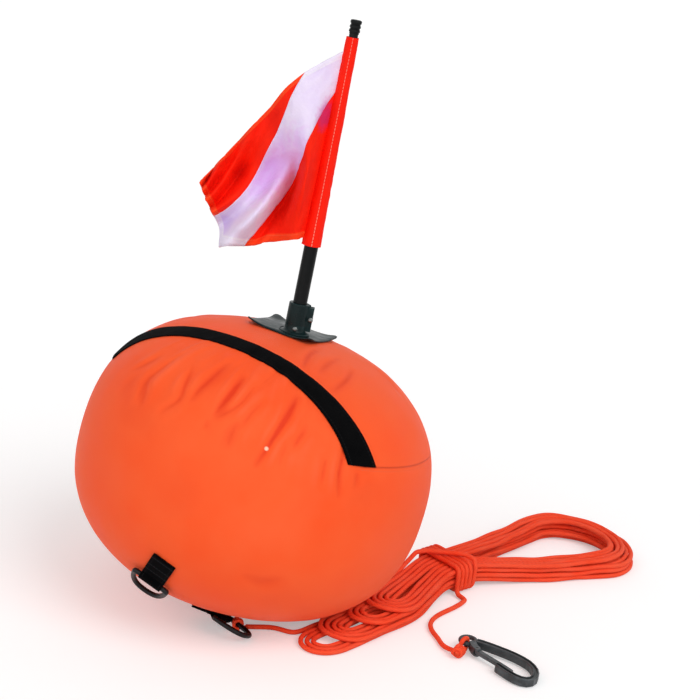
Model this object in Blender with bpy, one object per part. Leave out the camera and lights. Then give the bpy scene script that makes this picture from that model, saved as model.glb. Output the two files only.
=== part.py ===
"""Round surface marker buoy for divers, with its flag mast, D-rings, floating line and snap hook.

Units are metres and +Z is up. The origin is on the floor under the middle of the float. The float leans a
little, as a heavy ball with a mast does on a floor, so its pieces hang on an empty that carries the lean.
Each object is one piece of the real buoy.
"""
from math import acos, atan2, cos, degrees, pi, radians, sin, sqrt

import bmesh
import bpy
import numpy as np
from mathutils import Euler, Matrix, Vector

for old in list(bpy.data.objects):
    bpy.data.objects.remove(old, do_unlink=True)

# Clearance between touching pieces, and between running ones
GAP = 0.0003
RUNNING_GAP = 0.00035

# Float: a flattened ball, whose outline is a superellipse
FLOAT_RADIUS = 0.1766
FLOAT_HALF_HEIGHT = 0.1400
FLOAT_SQUARENESS = 2.42
LEAN_RIGHT = radians(11.0)
LEAN_BACK = radians(7.6)
FLAT_DEPTH = 0.006
COVER_WALL = 0.0012
FLAP_WALL = 0.0015
BLADDER_WALL = 0.0008
AROUND = 40
ROWS = 15

# Mouth of the cover: an arch over the front, which faces left of the middle
FRONT_AZIMUTH = radians(-30.0)
SEAM_HEIGHT = 0.066
BACK_EDGE = (0.0399, 0.246)
FRONT_EDGE = (0.0786, 0.118)
TAPE_WALL = 0.0011
FLAP_HALF_WIDTH = 0.020
FLAP_END_HEIGHT = 0.072

# Inflation valve, behind the mouth
VALVE_HOLE_RADIUS = 0.0070
VALVE_BORE_RADIUS = 0.0035
VALVE_FLANGE_RADIUS = 0.0120
VALVE_DEPTH = 0.020
VALVE_FLANGE_DEPTH = 0.0062
VALVE_FLANGE_WALL = 0.0016
PLUG_RECESS = 0.0040

# Mast patch and socket
PATCH_SIDE = 0.0714
PATCH_YAW = radians(-24.1)
PATCH_CENTRE = (-0.0020, 0.0200)
PATCH_WALL = 0.0022
PATCH_CORNER = 0.006
BACKING_RADIUS = 0.034
MAST_TILT = radians(-5.4)
SOCKET_RADIUS = 0.0105
SOCKET_TOP = 0.0328
SOCKET_FLOOR = 0.0115
FLANGE_RADIUS = 0.0155
FLANGE_HEIGHT = 0.0054
SLIT_WIDTH = 0.0016
LUG_WALL = 0.0036
LUG_REACH = 0.0052
LUG_FOOT = 0.0060
CLAMP_HEIGHT = 0.0185
SCREW_RADIUS = 0.0014
SCREW_HEAD_RADIUS = 0.0026
SCREW_HEAD = 0.0016
RIVET_HEIGHT = 0.0081
RIVET_RADIUS = 0.0016
RIVET_HEAD_RADIUS = 0.0024

# Mast, measured along itself from the float's skin
TUBE_RADIUS = 0.0070
TUBE_WALL = 0.0012
TUBE_TOP = 0.1340
FOOT_FLANGE = 0.0020
FOOT_PLUG_LENGTH = 0.0150
ROD_RADIUS = 0.0044
ROD_TOP = 0.3120
FERRULE_LENGTH = 0.0100
FERRULE_PLUG_LENGTH = 0.0140
TIP_BOTTOM = 0.3020
TIP_TOP = 0.3155
TIP_RADIUS = 0.0056
TIP_RIBS = 3

# Flag
SLEEVE_BOTTOM = 0.0915
SLEEVE_TOP = 0.2950
SLEEVE_BOTTOM_RADIUS = 0.00875
SLEEVE_TOP_RADIUS = 0.0055
SLEEVE_WALL = 0.0006
FLAG_BOTTOM = 0.0986
FLAG_TOP = 0.2850
FLAG_WIDTH = 0.195
FLAG_WALL = 0.0006
STRIPE_START = 0.80
STRIPE_END = 1.20
PANEL_GAP = 0.008

# Webbing and rings
WEBBING_WIDTH = 0.025
WEBBING_WALL = 0.0013
RING_WIDTH = 0.042
RING_HEIGHT = 0.037
RING_WIRE = 0.0052
FRONT_TAB_LENGTH = 0.043
FRONT_TAB_FOOT = (-0.0660, -0.1210, -0.1000)
FRONT_TAB_HEAD = (-0.0600, -0.1505, -0.0693)
LOWER_TAB_LENGTH = 0.030
LOWER_TAB_FOOT = (-0.0132, -0.0940, 0.0150)
LOWER_TAB_ALONG = (-0.77, 0.52, 0.30)

# Line: one rope of five millimetres, folded into a hank of loops
LINE = 0.005
LAYERS = 4
LOOPS_PER_LAYER = 4
LOOP_POINTS = 24
LINE_STEP = 0.0060
LAYER_STEP = 0.00545
WAIST = (0.2070, 0.0729)
HANK_HEADING = radians(44.5)
HANK_BEND = ((-0.245, -0.002), (-0.100, -0.002), (0.0, 0.0), (0.10, -0.002), (0.17, -0.005), (0.24, -0.010))
WAIST_HALF_LENGTH = 0.020
TIE_TURNS = 4
TIE_STEP = 0.0058
TIE_CORNER = 0.0064

# The line's two ends: a loop and a knot on each, the short lead to the lower ring and the tail to the hook
LEAD_WIRE = (0.0, -0.081, 0.0055)
LEAD_HEADING = radians(8.0)
HITCH_LENGTH = 0.0120
HITCH_HALF_WIDTH = 0.0068
HITCH_HALF_HEIGHT = 0.0054
KNOT_LENGTH = 0.0140
KNOT_WIDTH = 0.0124
LOOP_TO_KNOT = 0.0165
STRAND_OFFSET = 0.0029
TAIL_ENTRY = radians(148.0)
TIE_END = (-0.0130, -0.0390)
TAIL = ((-0.0145, -0.0455), (-0.0240, -0.0490), (-0.0400, -0.0515), (-0.0610, -0.0530), (-0.0800, -0.0590),
        (-0.0930, -0.0720), (-0.0990, -0.0900))

# Snap hook, in its own frame: X from its eye to its round end, Y to its spine's side
HOOK_EYE = (0.2300, -0.0720)
HOOK_HEADING = radians(-47.5)
HOOK_PITCH = radians(2.2)
KNOT_HEADING = radians(-113.0)
HOOK_BAR = 0.0066
HOOK_WALL = 0.0088
GROOVE_WIDTH = 0.0034
GROOVE_DEPTH = 0.0016
EYE_RADIUS = 0.0075
EYE_WIRE = 0.0050
EYE_HEIGHT = 0.0081
SPINE = ((0.0085, 0.0035), (0.0130, 0.0062), (0.0210, 0.0097), (0.0300, 0.0131), (0.0390, 0.0162), (0.0480, 0.0186),
         (0.0570, 0.0200), (0.0650, 0.0202), (0.0725, 0.0187), (0.0790, 0.0158), (0.0845, 0.0114), (0.0883, 0.0060),
         (0.0900, 0.0000), (0.0887, -0.0050), (0.0845, -0.0089), (0.0780, -0.0110), (0.0700, -0.0117), (0.0620, -0.0117),
         (0.0550, -0.0114))
ROOT = ((0.0078, -0.0020), (0.0120, -0.0045), (0.0165, -0.0066), (0.0205, -0.0075))
GATE_PIVOT = (0.0205, -0.0075)
GATE = ((0.0205, -0.0075), (0.0300, -0.0068), (0.0400, -0.0061), (0.0500, -0.0056), (0.0580, -0.0054), (0.0670, -0.0054))
GATE_BAR = 0.0044
SLOT_RELIEF = 0.0014
GATE_WALL = 0.0040
PIN_RADIUS = 0.0012
SPRING = ((0.0142, 0.0002), (0.0175, -0.0022), (0.0210, -0.0036), (0.0270, -0.0042), (0.0330, -0.0038))
SPRING_WALL = 0.0006
SPRING_WIDTH = 0.0030


# Finishes

FINISHES = {
    "cover_fabric": ((1.0, 0.33, 0.16), 0.55, 0.0),
    "closure_webbing": ((0.012, 0.012, 0.014), 0.75, 0.0),
    "bladder_film": ((0.90, 0.45, 0.12), 0.35, 0.0),
    "valve_plastic": ((0.85, 0.85, 0.83), 0.40, 0.0),
    "patch_rubber": ((0.020, 0.035, 0.036), 0.45, 0.0),
    "mast_plastic": ((0.012, 0.014, 0.015), 0.38, 0.0),
    "clamp_steel": ((0.45, 0.47, 0.48), 0.35, 1.0),
    "flag_red": ((1.0, 0.12, 0.03), 0.55, 0.0),
    "flag_white": ((0.88, 0.82, 0.94), 0.60, 0.0),
    "ring_plastic": ((0.015, 0.015, 0.017), 0.40, 0.0),
    "line_orange": ((1.0, 0.24, 0.12), 0.60, 0.0),
    "hook_plastic": ((0.040, 0.043, 0.046), 0.45, 0.0),
}


def finish(name):
    """The named finish, made once and shared."""
    material = bpy.data.materials.get(name)
    if material is None:
        colour, roughness, metallic = FINISHES[name]
        material = bpy.data.materials.new(name)
        material.use_nodes = True
        shader = material.node_tree.nodes["Principled BSDF"]
        shader.inputs["Base Color"].default_value = (*colour, 1.0)
        shader.inputs["Roughness"].default_value = roughness
        shader.inputs["Metallic"].default_value = metallic
    return material


# Building blocks

def add_object(name, mesh, finish_name, parent):
    """One named piece with its finish, hung on its parent."""
    piece = bpy.data.objects.new(name, mesh)
    bpy.context.scene.collection.objects.link(piece)
    piece.parent = parent
    if finish_name:
        mesh.materials.append(finish(finish_name))
    return piece


def add_mesh(name, points, faces, finish_name=None, parent=None, smooth=True):
    """A piece from points and faces, with its faces turned outwards."""
    mesh = bpy.data.meshes.new(name)
    mesh.from_pydata([tuple(point) for point in points], [], [tuple(face) for face in faces])
    shell = bmesh.new()
    shell.from_mesh(mesh)
    bmesh.ops.remove_doubles(shell, verts=shell.verts, dist=1e-7)
    bmesh.ops.recalc_face_normals(shell, faces=shell.faces)
    shell.to_mesh(mesh)
    shell.free()
    mesh.update()
    if smooth:
        mesh.shade_smooth()
        mesh.set_sharp_from_angle(angle=radians(35))
    return add_object(name, mesh, finish_name, parent)


def add_empty(name, matrix, parent=None):
    """An empty that carries a group of pieces, placed in the world."""
    empty = bpy.data.objects.new(name, None)
    bpy.context.scene.collection.objects.link(empty)
    empty.parent = parent
    empty.matrix_basis = matrix
    return empty


def as_cutter(piece):
    """Mark a piece as a cutting tool, which isn't part of the buoy."""
    piece.hide_render = True
    piece.display_type = "WIRE"
    return piece


def cut(piece, cutter, operation="DIFFERENCE"):
    """Cut a piece with another one."""
    modifier = piece.modifiers.new(f"{operation.lower()}_{cutter.name}", "BOOLEAN")
    modifier.object = cutter
    modifier.operation = operation
    modifier.solver = "EXACT"
    return piece


def loft(rings, closed_ends=True):
    """Points and faces of a body through equal rings of points, each ring closed on itself."""
    count = len(rings[0])
    points = [point for ring in rings for point in ring]
    faces = []
    for row in range(len(rings) - 1):
        for i in range(count):
            j = (i + 1) % count
            faces.append((row * count + i, row * count + j, (row + 1) * count + j, (row + 1) * count + i))
    if closed_ends:
        faces.append(tuple(range(count)))
        faces.append(tuple(range((len(rings) - 1) * count, len(rings) * count)))
    return points, faces


def turned(profile, sides, centre=(0.0, 0.0)):
    """Points and faces of a turned body from its closed profile of (radius, height) points."""
    rings = []
    for i in range(sides):
        angle = 2 * pi * (i + 0.5) / sides
        rings.append([(centre[0] + r * cos(angle), centre[1] + r * sin(angle), z) for r, z in profile])
    points, faces = loft(rings + rings[:1], closed_ends=False)
    return points, faces


def block(low, high):
    """Points and faces of a box between two corners."""
    points = [(x, y, z) for z in (low[2], high[2]) for y in (low[1], high[1]) for x in (low[0], high[0])]
    faces = [(0, 1, 3, 2), (4, 5, 7, 6), (0, 1, 5, 4), (2, 3, 7, 6), (0, 2, 6, 4), (1, 3, 7, 5)]
    return points, faces


def rod_between(start, end, radius, sides=16):
    """Points and faces of a round rod between two points."""
    start, end = Vector(start), Vector(end)
    turn = (end - start).to_track_quat("Z", "Y")
    rings = []
    for centre in (start, end):
        rings.append([centre + turn @ Vector((radius * cos(2 * pi * i / sides), radius * sin(2 * pi * i / sides), 0))
                      for i in range(sides)])
    return loft(rings)


# Float's own frame: its axis leans, and it is pressed flat where it meets the floor

def rest_height():
    """Height of the float's middle, from the lean and the depth of its flat."""
    lean = acos(cos(LEAN_RIGHT) * cos(LEAN_BACK))
    power = FLOAT_SQUARENESS / (FLOAT_SQUARENESS - 1)
    reach = (FLOAT_RADIUS * sin(lean)) ** power + (FLOAT_HALF_HEIGHT * cos(lean)) ** power
    return reach ** (1 / power) - FLAT_DEPTH


REST_HEIGHT = rest_height()
FLOAT_TURN = Euler((-LEAN_BACK, LEAN_RIGHT, 0.0)).to_matrix()
FLOAT_PLACE = Matrix.Translation((0, 0, REST_HEIGHT)) @ FLOAT_TURN.to_4x4()
float_frame = add_empty("float_frame", FLOAT_PLACE)
TO_FLOAT = FLOAT_PLACE.inverted()
FLOOR_NORMAL = np.array(FLOAT_TURN.transposed() @ Vector((0, 0, 1)))
FRONT = np.array([sin(FRONT_AZIMUTH), -cos(FRONT_AZIMUTH), 0.0])
SIDE = np.array([cos(FRONT_AZIMUTH), sin(FRONT_AZIMUTH), 0.0])
UP = np.array([0.0, 0.0, 1.0])


def float_point(angle, azimuth, inset):
    """Point of the float's surface, this far inside its skin, in the float's own frame."""
    power = 2 / FLOAT_SQUARENESS
    radius = (FLOAT_RADIUS - inset) * max(cos(angle), 0.0) ** power
    height = (FLOAT_HALF_HEIGHT - inset) * abs(sin(angle)) ** power * (1 if angle > 0 else -1)
    point = np.array([radius * sin(azimuth), -radius * cos(azimuth), height])
    depth = point @ FLOOR_NORMAL + REST_HEIGHT
    if depth < inset:
        point = point + (inset - depth) * FLOOR_NORMAL
    return point


def float_surface(inset):
    """Points and faces of the whole surface, poles included."""
    points = [float_point(-pi / 2, 0.0, inset)]
    for row in range(1, ROWS + 1):
        angle = -pi / 2 + pi * row / (ROWS + 1)
        for i in range(AROUND):
            points.append(float_point(angle, 2 * pi * i / AROUND, inset))
    points.append(float_point(pi / 2, 0.0, inset))
    faces = []
    for i in range(AROUND):
        j = (i + 1) % AROUND
        faces.append((0, 1 + i, 1 + j))
        for row in range(ROWS - 1):
            low, high = 1 + row * AROUND, 1 + (row + 1) * AROUND
            faces.append((low + i, high + i, high + j, low + j))
        last = 1 + (ROWS - 1) * AROUND
        faces.append((len(points) - 1, last + j, last + i))
    return points, faces


def float_shell(name, outer_inset, inner_inset, finish_name):
    """A skin of the float between two depths, whole until it is cut open."""
    outer_points, outer_faces = float_surface(outer_inset)
    inner_points, inner_faces = float_surface(inner_inset)
    shift = len(outer_points)
    mesh = bpy.data.meshes.new(name)
    inner = [tuple(shift + i for i in reversed(face)) for face in inner_faces]
    turned_out = [tuple(reversed(face)) for face in outer_faces]
    turned_in = [tuple(reversed(face)) for face in inner]
    mesh.from_pydata([tuple(p) for p in outer_points + inner_points], [], turned_out + turned_in)
    mesh.update()
    mesh.shade_smooth()
    return add_object(name, mesh, finish_name, float_frame)


def float_solid(name, inset):
    """The float's whole body as a cutting tool."""
    points, faces = float_surface(inset)
    return as_cutter(add_mesh(name, points, faces, None, float_frame))


def front_prism(name, outline):
    """A cutting prism that runs across the float, from an outline of (forwards, height) points."""
    reach = 1.5 * FLOAT_RADIUS
    rings = [[tuple(p * FRONT + h * UP + side * reach * SIDE) for p, h in outline] for side in (-1, 1)]
    points, faces = loft(rings)
    return as_cutter(add_mesh(name, points, faces, None, float_frame, smooth=False))


def on_skin(point, outset=0.0):
    """The point of the float's skin on the line from its middle through a point."""
    x, y, z = point
    n = FLOAT_SQUARENESS
    a, c = FLOAT_RADIUS + outset, FLOAT_HALF_HEIGHT + outset
    share = ((sqrt(x * x + y * y) / a) ** n + (abs(z) / c) ** n) ** (1 / n)
    return Vector(point) / share


def skin_normal(point):
    """Outward normal of the float's skin at a point."""
    x, y, z = point
    n = FLOAT_SQUARENESS
    r = max(sqrt(x * x + y * y), 1e-9)
    slope_r = (r / FLOAT_RADIUS) ** (n - 1) / FLOAT_RADIUS
    slope_z = (abs(z) / FLOAT_HALF_HEIGHT) ** (n - 1) / FLOAT_HALF_HEIGHT * (1 if z > 0 else -1)
    return Vector((slope_r * x / r, slope_r * y / r, slope_z)).normalized()


# Cover, in two panels that meet at the mouth and along the seam

FAR = 2 * FLOAT_RADIUS
ABOVE = 1.3 * FLOAT_HALF_HEIGHT


def mouth_at(height, shift=0.0):
    """How far forwards the middle of the mouth lies at a height."""
    start = (BACK_EDGE[0] + FRONT_EDGE[0]) / 2
    slope = (BACK_EDGE[1] + FRONT_EDGE[1]) / 2
    return start + slope * height + shift


def crown_outline(margin):
    """Outline of the crown panel's region, grown by a margin."""
    low = SEAM_HEIGHT - margin
    return [(-FAR, low), (mouth_at(low, margin), low), (mouth_at(ABOVE, margin), ABOVE), (-FAR, ABOVE)]


def make_cover():
    upper = float_shell("cover_upper", 0.0, COVER_WALL, "cover_fabric")
    cut(upper, front_prism("crown_region", crown_outline(-GAP / 2)), "INTERSECT")
    lower = float_shell("cover_lower", 0.0, COVER_WALL, "cover_fabric")
    cut(lower, front_prism("crown_clearance", crown_outline(GAP / 2)))


def make_closure():
    def edge(line, height):
        return line[0] + line[1] * height, height
    tape = float_shell("closure_tape", -GAP - TAPE_WALL, -GAP, "closure_webbing")
    outline = [edge(BACK_EDGE, SEAM_HEIGHT), edge(FRONT_EDGE, SEAM_HEIGHT),
               edge(FRONT_EDGE, ABOVE), edge(BACK_EDGE, ABOVE)]
    cut(tape, front_prism("tape_region", outline), "INTERSECT")
    flap_outer = COVER_WALL + GAP
    flap = float_shell("closure_flap", flap_outer, flap_outer + FLAP_WALL, "closure_webbing")
    low = FLAP_END_HEIGHT
    outline = [(mouth_at(low, -FLAP_HALF_WIDTH), low), (mouth_at(low, FLAP_HALF_WIDTH), low),
               (mouth_at(ABOVE, FLAP_HALF_WIDTH), ABOVE), (mouth_at(ABOVE, -FLAP_HALF_WIDTH), ABOVE)]
    cut(flap, front_prism("flap_region", outline), "INTERSECT")


BLADDER_INSET = COVER_WALL + GAP + FLAP_WALL + GAP


def valve_frame():
    """Place of the valve: the middle of the mouth, square to the skin."""
    low, high = 0.0, FLOAT_HALF_HEIGHT
    for _ in range(40):
        height = (low + high) / 2
        radius = FLOAT_RADIUS * (1 - (height / FLOAT_HALF_HEIGHT) ** FLOAT_SQUARENESS) ** (1 / FLOAT_SQUARENESS)
        low, high = (height, high) if radius > mouth_at(height) else (low, height)
    point = Vector(mouth_at(height) * FRONT + height * UP)
    turn = skin_normal(point).to_track_quat("Z", "Y").to_matrix().to_4x4()
    return Matrix.Translation(point) @ turn


def make_bladder():
    bladder = float_shell("bladder", BLADDER_INSET, BLADDER_INSET + BLADDER_WALL, "bladder_film")
    frame = add_empty("valve_frame", valve_frame(), float_frame)
    points, faces = rod_between((0, 0, -0.03), (0, 0, 0.01), VALVE_HOLE_RADIUS, 24)
    hole = as_cutter(add_mesh("valve_hole", points, faces, None, frame))
    cut(bladder, hole)
    envelope = float_solid("bladder_envelope", BLADDER_INSET)
    neck, bore = VALVE_HOLE_RADIUS - GAP, VALVE_BORE_RADIUS
    flange_top = -VALVE_FLANGE_DEPTH
    flange_foot = flange_top - VALVE_FLANGE_WALL
    profile = [(bore, -VALVE_DEPTH), (bore, 0.0), (neck, 0.0), (neck, flange_top), (VALVE_FLANGE_RADIUS, flange_top),
               (VALVE_FLANGE_RADIUS, flange_foot), (neck, flange_foot), (neck - 0.001, -VALVE_DEPTH)]
    points, faces = turned(profile, 24)
    body = add_mesh("valve_body", points, faces, "valve_plastic", frame)
    cut(body, envelope, "INTERSECT")
    stem = bore - GAP
    points, faces = rod_between((0, 0, -VALVE_DEPTH), (0, 0, -BLADDER_INSET - PLUG_RECESS), stem, 24)
    add_mesh("valve_plug", points, faces, "valve_plastic", frame)


# Mast patch, its inner backing and the socket

def rounded_square(side, corner, steps=4):
    """Outline of a square with round corners, about its middle."""
    outline = []
    reach = side / 2 - corner
    for quarter in range(4):
        cx = reach * (1 if quarter in (0, 3) else -1)
        cy = reach * (1 if quarter in (0, 1) else -1)
        for i in range(steps + 1):
            angle = pi / 2 * (quarter + i / steps)
            outline.append((cx + corner * cos(angle), cy + corner * sin(angle)))
    return outline


def upright_prism(name, outline, low=0.05, high=0.20):
    """A cutting prism along the float's axis."""
    points, faces = loft([[(x, y, z) for x, y in outline] for z in (low, high)])
    return as_cutter(add_mesh(name, points, faces, None, float_frame, smooth=False))


def patch_outline():
    outline = []
    for x, y in rounded_square(PATCH_SIDE, PATCH_CORNER):
        outline.append((PATCH_CENTRE[0] + x * cos(PATCH_YAW) - y * sin(PATCH_YAW),
                        PATCH_CENTRE[1] + x * sin(PATCH_YAW) + y * cos(PATCH_YAW)))
    return outline


def make_patch():
    patch = float_shell("mast_patch", -GAP - PATCH_WALL, -GAP, "patch_rubber")
    cut(patch, upright_prism("patch_region", patch_outline()), "INTERSECT")
    backing_outer = COVER_WALL + GAP
    backing = float_shell("patch_backing", backing_outer, backing_outer + FLAP_WALL, "patch_rubber")
    circle = [(BACKING_RADIUS * cos(2 * pi * i / 32), BACKING_RADIUS * sin(2 * pi * i / 32)) for i in range(32)]
    cut(backing, upright_prism("backing_region", circle), "INTERSECT")


MAST_PLACE = Matrix.Translation((0, 0, FLOAT_HALF_HEIGHT)) @ Matrix.Rotation(MAST_TILT, 4, "Y")
socket_frame = add_empty("socket_frame", MAST_PLACE, float_frame)
mast_frame = add_empty("mast_frame", MAST_PLACE, float_frame)
MAST_SIDES = 32


def make_socket():
    seat = float_solid("socket_seat", -GAP - PATCH_WALL - GAP)
    bore = TUBE_RADIUS + RUNNING_GAP
    below = -0.008
    profile = [(0.0, below), (0.0, SOCKET_FLOOR), (bore, SOCKET_FLOOR), (bore, SOCKET_TOP),
               (SOCKET_RADIUS, SOCKET_TOP), (SOCKET_RADIUS, FLANGE_HEIGHT),
               (SOCKET_RADIUS + 0.0010, FLANGE_HEIGHT - 0.0007), (FLANGE_RADIUS, FLANGE_HEIGHT - 0.0014),
               (FLANGE_RADIUS, below)]
    points, faces = turned(profile, MAST_SIDES)
    socket = add_mesh("mast_socket", points, faces, "patch_rubber", socket_frame)
    lug_low, lug_high = LUG_FOOT, SOCKET_TOP - 0.0016
    half = SLIT_WIDTH / 2
    inner = sqrt(SOCKET_RADIUS ** 2 - (half + LUG_WALL) ** 2) - 0.0012
    points, faces = block((inner, -half - LUG_WALL, lug_low), (SOCKET_RADIUS + LUG_REACH, half + LUG_WALL, lug_high))
    cut(socket, as_cutter(add_mesh("lug_block", points, faces, None, socket_frame, smooth=False)), "UNION")
    points, faces = block((TUBE_RADIUS / 2, -half, SOCKET_FLOOR + 0.0002), (0.03, half, SOCKET_TOP + 0.01))
    cut(socket, as_cutter(add_mesh("socket_slit", points, faces, None, socket_frame, smooth=False)))
    middle = SOCKET_RADIUS + LUG_REACH * 0.52
    reach = half + LUG_WALL
    points, faces = rod_between((middle, -0.02, CLAMP_HEIGHT), (middle, 0.02, CLAMP_HEIGHT), SCREW_RADIUS + GAP)
    cut(socket, as_cutter(add_mesh("screw_hole", points, faces, None, socket_frame)))
    points, faces = rod_between((0, -0.02, RIVET_HEIGHT), (0, 0.02, RIVET_HEIGHT), RIVET_RADIUS + GAP)
    cut(socket, as_cutter(add_mesh("rivet_hole", points, faces, None, socket_frame)))
    cut(socket, seat)
    make_screw(middle, reach)
    make_rivet()


def headed_pin(name, centre, reach, radius, head_radius, head, finish_name, far_head=False):
    """A round pin along Y with a domed head in front and, for a rivet, one behind."""
    x, z = centre
    front = -reach - GAP
    profile = [(0.0, front - head), (head_radius * 0.6, front - head * 0.8), (head_radius, front - head * 0.25),
               (head_radius, front), (radius, front)]
    end = reach + GAP
    if far_head:
        profile += [(radius, end), (head_radius, end), (head_radius, end + head * 0.25),
                    (head_radius * 0.6, end + head * 0.8), (0.0, end + head)]
    else:
        profile += [(radius, end + 0.0028), (0.0, end + 0.0028)]
    points, faces = turned(profile, 16)
    points = [(x + px, pz, z + py) for px, py, pz in points]
    return add_mesh(name, points, faces, finish_name, socket_frame)


def make_screw(middle, reach):
    headed_pin("clamp_screw", (middle, CLAMP_HEIGHT), reach, SCREW_RADIUS, SCREW_HEAD_RADIUS, SCREW_HEAD, "clamp_steel")
    low, high = reach + GAP, reach + GAP + 0.0022
    hexagon = [(0.0027 * cos(pi * i / 3), 0.0027 * sin(pi * i / 3)) for i in range(6)]
    rings = [[(middle + x, y, CLAMP_HEIGHT + z) for x, z in hexagon] for y in (low, high)]
    nut = add_mesh("clamp_nut", *loft(rings), "clamp_steel", socket_frame, smooth=False)
    points, faces = rod_between((middle, 0, CLAMP_HEIGHT), (middle, 0.03, CLAMP_HEIGHT), SCREW_RADIUS + GAP / 2)
    cut(nut, as_cutter(add_mesh("nut_hole", points, faces, None, socket_frame)))


def make_rivet():
    headed_pin("socket_rivet", (0.0, RIVET_HEIGHT), SOCKET_RADIUS, RIVET_RADIUS, RIVET_HEAD_RADIUS, 0.0014,
               "clamp_steel", far_head=True)


# Mast

def make_mast():
    foot = SOCKET_FLOOR + GAP
    tube_foot = foot + FOOT_FLANGE + GAP
    bore = TUBE_RADIUS - TUBE_WALL
    profile = [(bore, tube_foot), (bore, TUBE_TOP), (TUBE_RADIUS, TUBE_TOP), (TUBE_RADIUS, tube_foot)]
    add_mesh("mast_tube", *turned(profile, MAST_SIDES), "mast_plastic", mast_frame)
    plug = bore - GAP
    profile = [(0.0, foot), (0.0, tube_foot + FOOT_PLUG_LENGTH), (plug - 0.0008, tube_foot + FOOT_PLUG_LENGTH),
               (plug, tube_foot + FOOT_PLUG_LENGTH - 0.001), (plug, foot + FOOT_FLANGE), (TUBE_RADIUS, foot + FOOT_FLANGE),
               (TUBE_RADIUS, foot)]
    add_mesh("mast_foot", *turned(profile, MAST_SIDES), "mast_plastic", mast_frame)
    shoulder = TUBE_TOP + GAP
    rod_foot = TUBE_TOP - FERRULE_PLUG_LENGTH
    hole = ROD_RADIUS + GAP
    profile = [(0.0, rod_foot - 0.002), (0.0, rod_foot), (hole, rod_foot), (hole, shoulder + FERRULE_LENGTH),
               (hole + 0.0007, shoulder + FERRULE_LENGTH), (TUBE_RADIUS - 0.0006, shoulder + 0.001),
               (TUBE_RADIUS - 0.0006, shoulder), (plug, shoulder), (plug, rod_foot - 0.002)]
    add_mesh("mast_ferrule", *turned(profile, MAST_SIDES), "mast_plastic", mast_frame)
    profile = [(0.0, rod_foot + GAP), (0.0, ROD_TOP), (ROD_RADIUS - 0.0005, ROD_TOP), (ROD_RADIUS, ROD_TOP - 0.0005),
               (ROD_RADIUS, rod_foot + GAP)]
    add_mesh("mast_rod", *turned(profile, 24), "mast_plastic", mast_frame)
    profile = [(0.0, ROD_TOP + GAP), (0.0, TIP_TOP), (TIP_RADIUS - 0.0012, TIP_TOP), (TIP_RADIUS, TIP_TOP - 0.0012)]
    rib = (TIP_TOP - 0.0012 - TIP_BOTTOM) / TIP_RIBS
    for i in range(TIP_RIBS):
        top = TIP_TOP - 0.0012 - i * rib
        profile += [(TIP_RADIUS, top - rib * 0.55), (TIP_RADIUS - 0.0007, top - rib * 0.62),
                    (TIP_RADIUS - 0.0007, top - rib * 0.95), (TIP_RADIUS - 0.0003 * (i < 2), top - rib)]
    profile[-1] = (TIP_RADIUS - 0.0007, TIP_BOTTOM)
    profile += [(hole, TIP_BOTTOM), (hole, ROD_TOP + GAP)]
    add_mesh("mast_tip", *turned(profile, 24), "mast_plastic", mast_frame)


# Flag: a sleeve on the mast and a limp cloth in three panels, red, white and red

def sleeve_radius(height):
    share = (height - SLEEVE_BOTTOM) / (SLEEVE_TOP - SLEEVE_BOTTOM)
    return SLEEVE_BOTTOM_RADIUS + (SLEEVE_TOP_RADIUS - SLEEVE_BOTTOM_RADIUS) * share


def flag_controls():
    """Rows of the hanging cloth from its foot to its head, each from the sleeve to the fly edge.

    Each point is (out from the mast, along the mast, towards the back), as shares of the flag's width, and
    the second is a drop from the row's own height on the mast.
    """
    return np.array([
        [(0.00, 0.000, 0.00), (0.10, 0.010, -0.14), (0.18, 0.026, 0.06), (0.27, 0.060, -0.12), (0.41, 0.125, 0.00)],
        [(0.00, 0.000, 0.00), (0.06, 0.006, -0.18), (0.12, 0.030, 0.04), (0.28, 0.190, -0.06), (0.36, 0.265, 0.07)],
        [(0.00, 0.000, 0.00), (0.12, 0.060, -0.15), (0.25, 0.225, -0.02), (0.38, 0.390, 0.08), (0.51, 0.580, 0.00)],
        [(0.00, 0.000, 0.00), (0.20, 0.170, -0.05), (0.35, 0.375, 0.00), (0.48, 0.590, 0.03), (0.58, 0.780, 0.00)],
    ])


def smooth_weights(share, count):
    """Weights of evenly spaced control points at a share of the way, as a Catmull-Rom curve has them."""
    place = min(max(share, 0.0), 1.0) * (count - 1)
    first = min(int(place), count - 2)
    t = place - first
    basis = [(-t + 2 * t * t - t ** 3) / 2, (2 - 5 * t * t + 3 * t ** 3) / 2,
             (t + 4 * t * t - 3 * t ** 3) / 2, (t ** 3 - t * t) / 2]
    weights = np.zeros(count)
    for k, value in enumerate(basis):
        i = first - 1 + k
        if i < 0:
            weights[0] += 2 * value
            weights[1] -= value
        elif i > count - 1:
            weights[count - 1] += 2 * value
            weights[count - 2] -= value
        else:
            weights[i] += value
    return weights


def flag_point(across, up):
    """Point of the cloth, from its share of the width away from the sleeve and of the height."""
    grid = flag_controls()
    offset = np.einsum("i,j,ijk->k", smooth_weights(up, 4), smooth_weights(across, 5), grid)
    height = FLAG_BOTTOM + (FLAG_TOP - FLAG_BOTTOM) * up
    seat = sleeve_radius(height) + GAP
    out = seat + offset[0] * FLAG_WIDTH
    return np.array([-out, offset[2] * FLAG_WIDTH, height - offset[1] * FLAG_WIDTH])


def flag_normal(across, up):
    step = 0.01
    a = flag_point(across + step, up) - flag_point(across - step, up)
    b = flag_point(across, up + step) - flag_point(across, up - step)
    normal = np.cross(a, b)
    return normal / np.linalg.norm(normal)


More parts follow.
